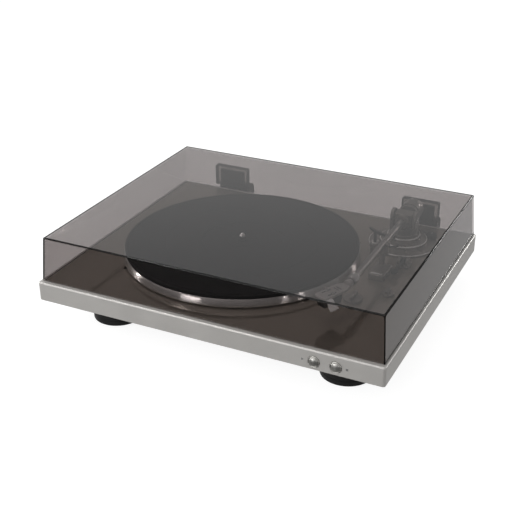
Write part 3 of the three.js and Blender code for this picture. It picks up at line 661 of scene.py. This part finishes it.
for end in ("front", "rear"):
    for side in ("left", "right"):
        node = f"foot_{end}_{side}"
        low, high = span(node)
        spot = (low + high) / 2
        radius = (high.x - low.x) / 2
        base, top = low.z, high.z
        foot = Build().lathe([
            (0, base + 1.6), (27.3, base + 1.6), (27.3, base + 0.3), (27.6, base), (radius - 1.2, base),
            (radius - 0.35, base + 0.35), (radius, base + 1.2), (radius, base + 6.0),
            (radius - 0.5, base + 6.4), (radius - 0.5, base + 7.0), (radius, base + 7.4),
            (radius, top - 7.6), (radius - 0.4, top - 6.7), (radius - 1.4, top - 6.2),
            (24.6, top - 5.4), (24, top - 4.6), (24, top), (0, top),
        ], 112, at(spot.x, spot.y, 0))
        stand_in(foot, node, BLACK)
        pad_low, pad_high = span("foot_pad_" + node[5:])
        pad = Build().lathe([
            (0, pad_low.z + 0.5), (8, pad_low.z + 0.5), (8.6, pad_low.z), (26.2, pad_low.z),
            (27, pad_low.z + 0.8), (27, pad_high.z), (0, pad_high.z),
        ], 96, at(spot.x, spot.y, 0))
        stand_in(pad, "foot_pad_" + node[5:], PAD)


# ------------------------------------------------------------------ base pan
def make_pan():
    low, high = span("base_pan")
    pan = Build()

    def ring(inset, z, radius):
        return [
            (x, y, z) for x, y in rounded_rectangle(
                low.x + inset, low.y + inset, high.x - inset, high.y - inset, radius, 8)
        ]

    pan.loft([
        ring(8, low.z, 4), ring(2.2, low.z, 7), ring(0.7, low.z + 0.7, 8), ring(0, low.z + 2.4, 8),
        ring(0, high.z, 8), ring(2, high.z, 6), ring(2, low.z + 2, 6),
    ])
    for row in range(5):
        for column in range(7):
            x = -66 + column * 22
            y = -30 + row * 9
            slot = rounded_rectangle(x - 8, y - 1.4, x + 8, y + 1.4, 1.39, 4)
            pan.prism(slot, low.z - 0.35, low.z + 0.4, 0.12, 1, material=1)
    for x, y in ((-150, 0), (150, 0), (0, -130), (0, 130), (-90, 130), (90, 130), (-90, -130), (90, -130)):
        pan.lathe([
            (0, low.z - 1.0), (2.2, low.z - 1.0), (3.2, low.z - 0.5), (3.4, low.z + 0.3), (0, low.z + 0.3),
        ], 24, at(x, y, 0), material=2)
    return stand_in(pan, "base_pan", BLACK, PIANO, STEEL)


make_pan()


# ------------------------------------------------------------------ platter, mat and spindle
def make_platter():
    low, high = span("platter")
    bottom, top = low.z, high.z
    radius = (high.x - low.x) / 2
    profile = [
        (3.8, 5.2), (14, 5.2), (14, 6.2), (62, 7.2), (62, bottom), (66, bottom), (66, 7.2), (143, 7.2),
        (143, bottom + 0.6), (143.6, bottom), (radius - 0.9, bottom), (radius - 0.2, bottom + 0.25),
        (radius, bottom + 0.8), (radius - 0.36, bottom + 2.6), (radius - 0.80, bottom + 4.4),
        (radius - 1.32, bottom + 6.2), (radius - 1.90, top - 1.5), (radius - 2.2, top - 0.8),
        (radius - 2.55, top - 0.25), (radius - 3.0, top), (3.8, top),
    ]
    return stand_in(Build().lathe(profile, 256, at(PLATTER.x, PLATTER.y, 0)), "platter", RIM)


def make_mat():
    low, high = span("platter_mat")
    bottom, top = low.z, high.z
    radius = (high.x - low.x) / 2
    profile = [(4.1, bottom), (radius - 0.8, bottom), (radius - 0.2, bottom + 0.3), (radius, bottom + 0.9),
               (radius, top - 0.7), (radius - 0.2, top - 0.2), (radius - 0.8, top)]
    edge = radius - 3.5
    profile += [(edge, top), (edge - 0.5, top - 0.35), (edge - 1.2, top - 0.35), (edge - 1.7, top)]
    edge = 96.0
    profile += [(edge, top), (edge - 0.4, top - 0.3), (edge - 0.9, top - 0.3), (edge - 1.3, top)]
    profile += [(52.6, top), (52, top - 0.2), (51.3, top - 0.7), (50.6, top - 0.8), (20, top - 0.8),
                (19.6, top - 1.1), (19, top - 1.1), (18.6, top - 0.8), (5, top - 0.8), (4.1, top - 1.3)]
    return stand_in(Build().lathe(profile, 256, at(PLATTER.x, PLATTER.y, 0)), "platter_mat", RUBBER)


def make_spindle():
    low, high = span("spindle")
    r = 3.57
    profile = [
        (0, low.z), (r - 0.6, low.z), (r, low.z + 0.6), (r, high.z - 4.4), (r - 0.15, high.z - 3.4),
        (r - 0.6, high.z - 2.2), (2.2, high.z - 1.0), (1.3, high.z - 0.3), (0.6, high.z - 0.06), (0, high.z),
    ]
    # The spindle's tapered tip takes the pale paint: a painted highlight.
    rod = Build().lathe(profile, 64, at(PLATTER.x, PLATTER.y, 0), materials=[0, 0, 0, 1, 1, 1, 1, 1, 1])
    return stand_in(rod, "spindle", CHROME, PALE_SILVER_AND_HIGHLIGHT)


make_platter()
make_mat()
make_spindle()


# ------------------------------------------------------------------ front buttons
for node in ("start_button", "stop_button"):
    low, high = span(node)
    spot = (low + high) / 2
    r = (high.x - low.x) / 2
    face = [
        (0, 0.0), (1.6, 0.06), (3.0, 0.26), (4.2, 0.62), (4.9, 1.0), (5.15, 1.35), (5.3, 1.55), (5.5, 1.35),
        (5.75, 1.05), (6.1, 0.95), (6.45, 1.15), (6.68, 1.6), (r, 2.3), (r, 6), (3, 6.2), (3, 9.4), (0, 9.4),
    ]
    button = Build().lathe(face, 96, at(spot.x, low.y, spot.z) @ ALONG_Y)
    stand_in(button, node, CAP)


def make_marks():
    """A small play sign beside the start button and a stop sign beside the other, printed on the front."""
    front = span("plinth_frame")[0].y
    start = middle("start_button")
    stop = middle("stop_button")
    flat = at(0, front - 0.05, 0) @ Matrix.Rotation(math.radians(90), 4, "X")
    play = [(start.x - 14, start.z - 1.5), (start.x - 11.4, start.z), (start.x - 14, start.z + 1.5)]
    square = [(stop.x + 11.4, stop.z - 1.3), (stop.x + 14, stop.z - 1.3), (stop.x + 14, stop.z + 1.3),
              (stop.x + 11.4, stop.z + 1.3)]
    build = Build()
    for outline in (play, square):
        build.loft([[(x, z, h) for x, z in outline] for h in (-0.1, 0.05)], flat)
    return build.finish("button_marks", "plinth", [PRINT], slot="grey_plastic")


make_marks()


# ------------------------------------------------------------------ deck knobs
for node, radius in (("speed_knob", 11.0), ("size_knob", 7.5)):
    low, high = span(node)
    x, y = middle(node).xy
    knob = Build()
    knob.lathe([
        (0, low.z), (2.8, low.z), (2.8, 0), (radius - 0.4, 0), (radius, 0.4), (radius, 2.2),
        (radius - 0.3, 2.9), (radius - 1.0, 3.2), (0, 3.2),
    ], 96, at(x, y, 0))
    grip = rounded_rectangle(x - 2.2, y - radius + 1, x + 2.2, y + radius - 1, 2.1, 8)
    knob.prism(grip, 2.8, high.z, 0.3, 4, top=0.9)
    knob.block(
        (x - 0.35, y + radius - 6, high.z - 0.3), (x + 0.35, y + radius - 2, high.z - 0.02), 0.02, material=1)
    stand_in(knob, node, GREY, PIANO)


# ------------------------------------------------------------------ tonearm base, rest and lift
YOKE = middle("arm_yoke")
PIVOT = Vector((YOKE.x, YOKE.y, span("plinth_frame")[1].z + 34))


def make_arm_base():
    place = at(PIVOT.x, PIVOT.y, 0)
    profile = [
        (5.1, -8), (8.6, -8), (8.6, 0), (43.4, 0), (43.85, 0.2), (44, 0.7), (44, 1.9), (43.7, 2.5),
        (43.0, 2.8), (31.2, 2.8), (30.4, 3.0), (30.0, 3.5), (30.0, 6.6), (29.7, 7.5), (28.8, 8.0),
        (21.8, 8.0), (21.2, 8.2), (21.0, 8.7), (21.0, 12.6), (20.6, 13.6), (19.6, 14.0), (5.1, 14.0),
    ]
    # The rounded top edges of the three steps take pale silver all round: partly polished edges, partly
    # painted highlight.
    polished_and_highlight = [2 if gap in (6, 7, 12, 13, 18, 19) else 0 for gap in range(len(profile))]
    base = Build().lathe(profile, 160, place, materials=polished_and_highlight)
    for tick in range(9):
        angle = math.radians(28 + tick * 6)
        mark = at(PIVOT.x + 36.5 * math.cos(angle), PIVOT.y + 36.5 * math.sin(angle), 2.8)
        mark = mark @ Matrix.Rotation(angle, 4, "Z")
        length = 3.2 if tick % 4 == 0 else 1.8
        base.block((-length / 2, -0.18, -0.1), (length / 2, 0.18, 0.05), 0.02, place=mark, material=1)
    piece = stand_in(base, "arm_base", DARK, WHITE, PALE_SILVER_AND_HIGHLIGHT)
    lift = middle("lift_sleeve")
    dial = middle("anti_skate_dial")
    holes = [
        cutter(Build().lathe([(0, -1), (6.4, -1), (6.4, 4), (0, 4)], 32, at(lift.x, lift.y, 0))),
        cutter(Build().lathe([(0, -1), (3.3, -1), (3.3, 9), (0, 9)], 24, at(dial.x, dial.y, 0))),
    ]
    return without(piece, *holes)


make_arm_base()


def make_arm_rest():
    low, high = span("arm_rest")
    x = PIVOT.x
    y = middle("arm_clip").y
    rest = Build()
    rest.prism(rounded_rectangle(low.x, low.y, high.x, low.y + 34, 3, 6), 0, 8, 0.5, 4, top=1.4)
    rest.lathe(
        [(0, 7), (5.2, 7), (4.4, 8.6), (3.6, 10.5), (3.4, 20), (3.6, 25.6), (0, 25.6)], 40, at(x + 1, y, 0))
    cradle = [
        (-6, 29.7), (-6, 27.2), (-3.5, 25), (9, 25), (9, 33.6),
        (8.2, 35), (4.6, 35), (4.6, 30.6), (3.9, 29.7),
    ]
    upright = at(x, y, 0) @ Matrix.Rotation(math.radians(90), 4, "X")
    rest.prism([(a, b) for a, b in cradle][::-1], -4, 4, 0.25, 2, upright)
    for offset in (-4.0, 1.6):
        rest.lathe([(0.9, 0), (2.2, 0), (2.2, 2.4), (0.9, 2.4)], 32, at(x + 6.8, y + offset, 36.4) @ ALONG_Y)
    # A thin pale strip along the base's front top edge: a painted highlight.
    rest.block((low.x + 3, low.y + 1.9, 7.6), (high.x - 3, low.y + 5.4, 8.12), 0.08, 0.6, material=1)
    return stand_in(rest, "arm_rest", GREY, PALE_SILVER_AND_HIGHLIGHT)


make_arm_rest()
softened("arm_clip", BLACK, 0.2)
softened("lift_sleeve", PLATED, 0.3)
softened("lift_bar", BLACK, 0.45, 3)


def make_cue():
    low, high = span("cue_lever_base")
    spot = (low + high) / 2
    base = Build()
    base.prism(rounded_rectangle(low.x, low.y, high.x, high.y, 2, 5), low.z, 3, 0.3, 3, top=0.6)
    for x0, x1 in ((-7, -3.4), (3.4, 7)):
        side = [(-5, 2.6), (5, 2.6), (5, 7.4), (3.6, 10.2), (1.4, 11), (-1.4, 11), (-3.6, 10.2), (-5, 7.4)]
        turn = Matrix(((0, 0, 1, spot.x), (1, 0, 0, spot.y), (0, 1, 0, 0), (0, 0, 0, 1)))
        base.prism(side, x0, x1, 0.3, 2, turn)
    stand_in(base, "cue_lever_base", GREY)
    low, high = span("cue_lever")
    axis = Vector((spot.x, 50.0, 7.0))
    lever = Build()
    lever.lathe(rounded(1.5, -6.6, 6.6, 0.3), 32, at(*axis) @ ALONG_X, material=1)
    lever.lathe(rounded(3.4, -3, 3, 0.5), 40, at(*axis) @ ALONG_X)
    lever.block((axis.x - 1.2, low.y + 6, axis.z - 0.8), (axis.x + 1.2, axis.y, axis.z + 1.6), 0.5)
    paddle = rounded_rectangle(low.x + 2.6, low.y, high.x - 2.6, low.y + 10, 2.5, 6)
    lever.prism(paddle, axis.z - 0.8, axis.z + 2.4, 0.5, 4, top=1.0)
    stand_in(lever, "cue_lever", BLACK, STEEL)


make_cue()


def make_anti_skate():
    low, _ = span("anti_skate_dial")
    x, y = middle("anti_skate_dial").xy
    dial = Build().lathe([
        (0, low.z), (3, low.z), (3, 3.1), (6.6, 3.1), (7, 3.5), (7, 7.8), (6.7, 8.5), (6.0, 8.8), (5.2, 8.7),
        (4.8, 8.5), (0, 8.5),
    ], 120, at(x, y, 0), teeth=(24, 0.35, 4, 6))
    dial.block((x - 0.3, y + 1.0, 8.4), (x + 0.3, y + 4.4, 8.75), 0.02, material=1)
    return stand_in(dial, "anti_skate_dial", BLACK, WHITE)


make_anti_skate()


# ------------------------------------------------------------------ tonearm
HERE = at(*PIVOT)


def make_yoke():
    yoke = Build()
    yoke.lathe([
        (0, -48), (5, -48), (5, -19.7), (16.6, -19.7), (17, -19.3), (17, -17.5), (16.7, -16.9), (16.0, -16.6),
        (0, -16.6),
    ], 96, HERE)
    side = [(-9, -17.2), (7.6, -17.2), (7.6, -2)]
    side += [
        (-0.7 + 8.3 * math.cos(t), 3.7 + 8.3 * math.sin(t))
        for t in (math.radians(a) for a in range(0, 181, 15))
    ]
    side += [(-9, -2)]
    for x0, x1 in ((-16.6, -12.4), (12.4, 16.6)):
        turn = HERE @ Matrix(((0, 0, 1, 0), (1, 0, 0, 0), (0, 1, 0, 0), (0, 0, 0, 1)))
        yoke.prism(side, x0, x1, 0.5, 3, turn)
    for x, way in ((-16.6, -1), (16.6, 1)):
        cap = HERE @ at(x, 0, 0) @ Matrix.Rotation(math.radians(90 * way), 4, "Y")
        yoke.lathe(
            [(0, -0.6), (4.2, -0.6), (4.2, 0.3), (3.8, 0.7), (1.2, 0.7), (1.0, 0.3), (0, 0.3)],
            40, cap, material=1)
    return stand_in(yoke, "arm_yoke", GREY, SATIN)


make_yoke()


def make_tube():
    arm = Build()
    front = span("arm_tube")[0].y - PIVOT.y
    turned = HERE @ at(0, front, 0) @ ALONG_Y
    length = -front
    arm.lathe([
        (0, 0), (3.2, 0), (3.2, 0.4), (3.7, 0.5), (4.0, 0.9), (4.0, 7), (3.85, 7.2), (3.85, 7.8), (4.0, 8.0),
        (4.0, length - 26), (4.15, length - 25.6), (4.6, length - 25), (4.9, length - 24), (5.0, length - 16),
        (5.0, length - 11), (0, length - 11),
    ], 64, turned)
    housing = HERE @ at(0, -12.4, 0) @ ALONG_Y
    arm.lathe([
        (0, 0), (6.4, 0), (8.2, 0.25), (8.9, 0.9), (9.1, 1.8), (9.1, 8), (0, 8),
    ], 72, housing, material=1)
    arm.block((-11.6, -8.6, -8.8), (11.6, 8, 8.8), 0.9, 3.2, HERE, 1)
    arm.lathe([(0, -15.5), (1.5, -15.5), (1.5, 15.5), (0, 15.5)], 24, HERE @ ALONG_X, material=2)
    end = span("arm_tube")[1].y - PIVOT.y
    arm.lathe([(0, 7), (4, 7), (4, end - 0.6), (3.5, end), (0, end)], 48, HERE @ ALONG_Y, material=2)
    return stand_in(arm, "arm_tube", ARM_METAL, DARK, STEEL)


make_tube()


def make_collar():
    low, _ = span("arm_collar")
    place = at(PIVOT.x, low.y, PIVOT.z) @ ALONG_Y
    collar = Build().lathe([
        (4.3, 0), (5.4, 0), (5.8, 0.3), (6.0, 0.8), (6.0, 1.8), (5.7, 2.1), (5.7, 2.5), (6.0, 2.8),
        (6.0, 9.2), (5.7, 9.5), (5.7, 9.9), (5.95, 10.2), (5.8, 11.4), (5.3, 12), (4.3, 12),
    ], 192, place, teeth=(48, 0.22, 7, 8))
    return stand_in(collar, "arm_collar", SATIN)


make_collar()

PLUG_END = span("arm_tube")[0].y - PIVOT.y - 8.3
SHELL = HERE @ at(0, PLUG_END, 0) @ Matrix.Rotation(math.radians(-22), 4, "Z")


def make_headshell():
    shell = Build()
    plug = HERE @ at(0, PLUG_END - 1, 0) @ ALONG_Y
    shell.lathe(rounded(3.9, 0, 9, 0.3), 40, plug, material=1)
    shell.lathe(rounded(4.4, -6, 0.8, 0.8, 4), 48, SHELL @ ALONG_Y)
    outline = [
        (-4.6, -0.4), (-4.6, -5), (-6.2, -8.6), (-9, -14), (-9, -45), (-8.4, -47), (-6.4, -48),
        (6.4, -48), (8.4, -47), (9, -45), (9, -14), (6.2, -8.6), (4.6, -5), (4.6, -0.4),
    ]
    shell.prism(outline, -2.6, 0, 0.35, 3, SHELL, top=0.6)
    for x in (-4.6, 4.6):
        slot = rounded_rectangle(x - 1.0, -40, x + 1.0, -27, 0.98, 5)
        shell.prism(slot, -0.05, 0.12, 0.02, 1, SHELL, material=2)
        shell.lathe([(0, -0.2), (2.2, -0.2), (2.2, 0.9), (1.8, 1.4), (0.7, 1.4), (0.7, 0.9), (0, 0.9)], 28,
                    SHELL @ at(x, -33, 0), material=1)
    # The two grooves are thin gloss-black sheets on the shell: painted shade in place of recesses.
    for y in (-19, -22.5):
        groove = rounded_rectangle(-4.2, y - 0.6, 4.2, y + 0.6, 0.58, 4)
        shell.prism(groove, -0.05, 0.1, 0.02, 1, SHELL, material=2)
    return stand_in(shell, "headshell", SHELL_PAINT, SATIN, PIANO)


make_headshell()
softened("finger_lift", PALE_SILVER_AND_HIGHLIGHT, 0.25)


def make_cartridge():
    body = Build()
    reach = -36.0
    side = [(-8, -2.9), (-8, -9), (-6.6, -12.4), (-4.5, -14.4), (-4.5, -10.0), (4.5, -10.0), (4.5, -14.4),
            (6.6, -12.4), (8, -9), (8, -2.9)]
    upright = SHELL @ at(0, reach + 3, 0) @ Matrix.Rotation(math.radians(90), 4, "X")
    body.prism(side, -12.0, 12.0, 0.35, 3, upright)
    body.block((-7.4, reach + 4.2, -14.4), (7.4, reach + 15, -3.2), 0.5, 1.2, SHELL)
    for x, z in ((-4, -7), (4, -7), (-4, -11), (4, -11)):
        pin = SHELL @ at(x, reach + 14.8, z) @ ALONG_Y
        body.lathe([(0, 0), (0.6, 0), (0.6, 2.6), (0.4, 3), (0, 3)], 14, pin, material=1)
    return stand_in(body, "cartridge", CARTRIDGE, BRASS)


make_cartridge()
softened("stylus", BLACK, 0.12)


def make_weight():
    low, high = span("counterweight")
    place = at(PIVOT.x, low.y, PIVOT.z) @ ALONG_Y
    length = high.y - low.y
    r = (high.x - low.x) / 2
    weight = Build().lathe([
        (6.3, 0), (r - 1.0, 0), (r - 0.3, 0.25), (r, 0.9), (r, 3.2), (r - 0.3, 3.5), (r - 0.3, 4.0), (r, 4.3),
        (r, length - 8.6), (r - 0.4, length - 8.3), (r - 0.4, length - 7.7), (r, length - 7.4),
        (r, length - 1.6), (r - 0.4, length - 0.5), (r - 1.4, length), (r - 4.2, length),
        (r - 4.6, length - 0.5), (6.3, length - 0.5),
    ], 240, place, teeth=(60, 0.2, 11, 12))
    stand_in(weight, "counterweight", GREY)
    low, high = span("tracking_dial")
    place = at(PIVOT.x, low.y, PIVOT.z) @ ALONG_Y
    r = (high.x - low.x) / 2
    dial = Build().lathe([
        (4.6, 0), (r - 1.2, 0), (r - 0.4, 0.3), (r, 1.0), (r, 4.2), (r - 0.3, 4.5), (4.6, 4.5),
    ], 240, place, teeth=(80, 0.12, 3, 3))
    for tick in range(30):
        angle = math.radians(12 * tick)
        mark = place @ Matrix.Rotation(angle, 4, "Z") @ at(r - 0.08, 0, 0)
        reach = 2.2 if tick % 5 else 3.2
        dial.block((-0.1, -0.14, 4.2 - reach), (0.05, 0.14, 4.2), 0.02, place=mark, material=1)
    stand_in(dial, "tracking_dial", GREY, WHITE)


make_weight()
softened("weight_bush", BRASS, 0.2)


# ------------------------------------------------------------------ dust cover and hinges
def pane_outline(x0, y0, x1, y1, radius, strips, steps=5):
    """A rounded rectangle with more points beside each corner, so that narrow strips follow it."""
    points = []
    corners = ((x1 - radius, y1 - radius, 0), (x0 + radius, y1 - radius, 90),
               (x0 + radius, y0 + radius, 180), (x1 - radius, y0 + radius, 270))
    for cx, cy, start in corners:
        for strip in reversed(strips):
            angle = math.radians(start)
            points.append((cx + radius * math.cos(angle) + strip * math.sin(angle),
                           cy + radius * math.sin(angle) - strip * math.cos(angle)))
        for step in range(steps + 1):
            angle = math.radians(start + 90 * step / steps)
            points.append((cx + radius * math.cos(angle), cy + radius * math.sin(angle)))
        for strip in strips:
            points.append((cx + radius * math.cos(angle) - strip * math.sin(angle),
                           cy + radius * math.sin(angle) + strip * math.cos(angle)))
    return points


def make_cover():
    """A moulded box without a floor, with clear panes, solid rims that match the panes, and near-black edges
    and darker bands that are painted shade for the dark lines along its edges.
    """
    low, high = span("dust_cover")
    back = high.y - 6.4
    draft, wall, fillet, corner, strips, steps = 4.0, 1.8, 1.3, 1.2, (1.8, 2.4), 5
    tall = high.z - low.z
    pane, edge, band = 0, 1, 3
    per = steps + 1 + 2 * len(strips)
    count = 4 * per

    def ring(inset, z, radius, left=0.0, rear=0.0):
        slope = draft * (z - low.z) / tall + inset
        outline = pane_outline(low.x + slope + left, low.y + slope, high.x - slope,
                               back - slope - rear, radius, strips, steps)
        return [(x, y, z) for x, y in outline]

    # each step of a skin is a ring and the name of the faces above it
    outside = [(ring(1.2, low.z, 0.6), "foot"), (ring(0.3, low.z + 0.1, 1.0), "foot"),
               (ring(0, low.z + 0.4, corner), "foot"), (ring(0, low.z + 2.6, corner), "wall")]
    for k in range(5):
        turn = math.pi / 2 * k / 4
        sink = fillet * (1 - math.cos(turn))
        height = high.z - fillet * (1 - math.sin(turn))
        outside.append((ring(sink, height, max(0.3, corner - sink)), "fillet"))
    outside.append((ring(fillet + 0.8, high.z, 0.3, 0.9, 1.4), "border"))
    outside.append((ring(fillet + 0.9, high.z, 0.3, 2.2, 4.0), "top"))
    inside = [(ring(inset, z, radius), "inner") for inset, z, radius in (
        (1.4, low.z, 0.6), (wall - 0.2, low.z + 0.1, 0.6), (wall, low.z + 0.4, 0.6),
        (wall, high.z - wall - 0.9, 0.6), (wall + 0.3, high.z - wall - 0.3, 0.5),
        (wall + 0.9, high.z - wall, 0.4))]

    def kind(name, i):
        """What a face is made of. The edge and band tints are painted shade, put on the sides and corners
        where the edges show as dark lines.

        Each corner is followed by a side: rear right, rear left, front left, front right.
        """
        part, place = i // per, i % per
        bend = len(strips) <= place < len(strips) + steps
        side = (part - 1) % 4 if place < len(strips) else part
        if name == "foot":
            return edge if (bend and part > 1) or (not bend and side == 3) else pane
        if name == "wall":
            if part > 1 and bend:
                return edge
            if part == 2 and place == len(strips) + steps:
                return edge
            return band if part == 2 and place == len(strips) + steps + 1 else pane
        if name == "fillet":
            return edge
        if name == "border":
            return band if side < 2 and not (bend and part == 2) else pane
        return pane

    cover = Build()
    points, faces, marks = [], [], []
    for skin, turned in ((outside, False), (inside, True)):
        start = len(points)
        for outline, _ in skin:
            points += outline
        for r in range(len(skin) - 1):
            for i in range(count):
                j = (i + 1) % count
                face = [start + r * count + i, start + r * count + j,
                        start + (r + 1) * count + j, start + (r + 1) * count + i]
                faces.append(face[::-1] if turned else face)
                marks.append(kind(skin[r][1], i))
        last = start + (len(skin) - 1) * count
        cap = [last + i for i in range(count)]
        faces.append(cap[::-1] if turned else cap)
        marks.append(pane)
    for i in range(count):
        j = (i + 1) % count
        start = len(outside) * count
        faces.append([j, i, start + i, start + j])
        marks.append(kind("foot", i))
    cover.shell(points, faces)
    cover.indices[-len(marks):] = marks
    for side in ("left", "right"):
        # The hinge pockets' walls take the near-black edge tint, painted shade; their ends take the pocket
        # tint.
        c = middle(f"hinge_leaf_{side}").x
        outline = rounded_rectangle(c - 25, low.z + 4.1, c + 25, low.z + 32.7, 1.6, 5)
        cover.loft([
            [(x, y, z) for x, z in shrunk(outline, inset)]
            for inset, y in ((0.6, back - 2.2), (0, back - 1.8), (0, high.y - 0.5), (0.5, high.y))
        ], material=2, materials=[1, 1, 1])
    return stand_in(cover, "dust_cover", SMOKE, SMOKE_EDGE_SHADE, SMOKE_DEEP, SMOKE_SHADE_BAND, angle=30)


make_cover()
for side in ("left", "right"):
    softened(f"hinge_leaf_{side}", BLACK, 0.5, 3)
    softened(f"hinge_base_{side}", BLACK, 0.6, 3)
    softened(f"hinge_pin_{side}", STEEL, 0.3)

# ------------------------------------------------------------------ rear panel and inner parts
softened("rear_panel", PIANO, 0.3)
softened("ground_terminal", PLATED, 0.2)
softened("mains_gland", PAD, 0.3)
for node, colour in (("signal_jack_left", WHITE), ("signal_jack_right", RED)):
    low, high = span(node)
    spot = (low + high) / 2
    place = at(spot.x, low.y, spot.z) @ ALONG_Y
    jack = Build()
    jack.lathe([
        (1.6, 0), (5.4, 0), (5.4, 1.2), (4.4, 1.6), (4.1, 2.0),
        (4.1, 8.8), (3.9, 9.2), (3.4, 9.2), (3.4, 1.4), (1.6, 1.4),
    ], 56, place)
    jack.lathe([(1.6, 1.3), (3.3, 1.3), (3.3, 8.4), (1.6, 8.4)], 40, place, material=1)
    stand_in(jack, node, PLATED, colour)
for node, material in (
    ("hub_pinion", NYLON), ("cam_gear", NYLON), ("bearing_housing", PLATED), ("motor_pulley", BRASS),
    ("motor_plate", PLATED), ("motor", STEEL), ("power_transformer", STEEL), ("arm_drive_lever", PLATED),
    ("amplifier_board", BOARD), ("drive_belt", PAD), ("start_switch", BLACK), ("stop_switch", BLACK),
):
    thing = frame["nodes"][node]
    thing.data.materials.clear()
    thing.data.materials.append(material)
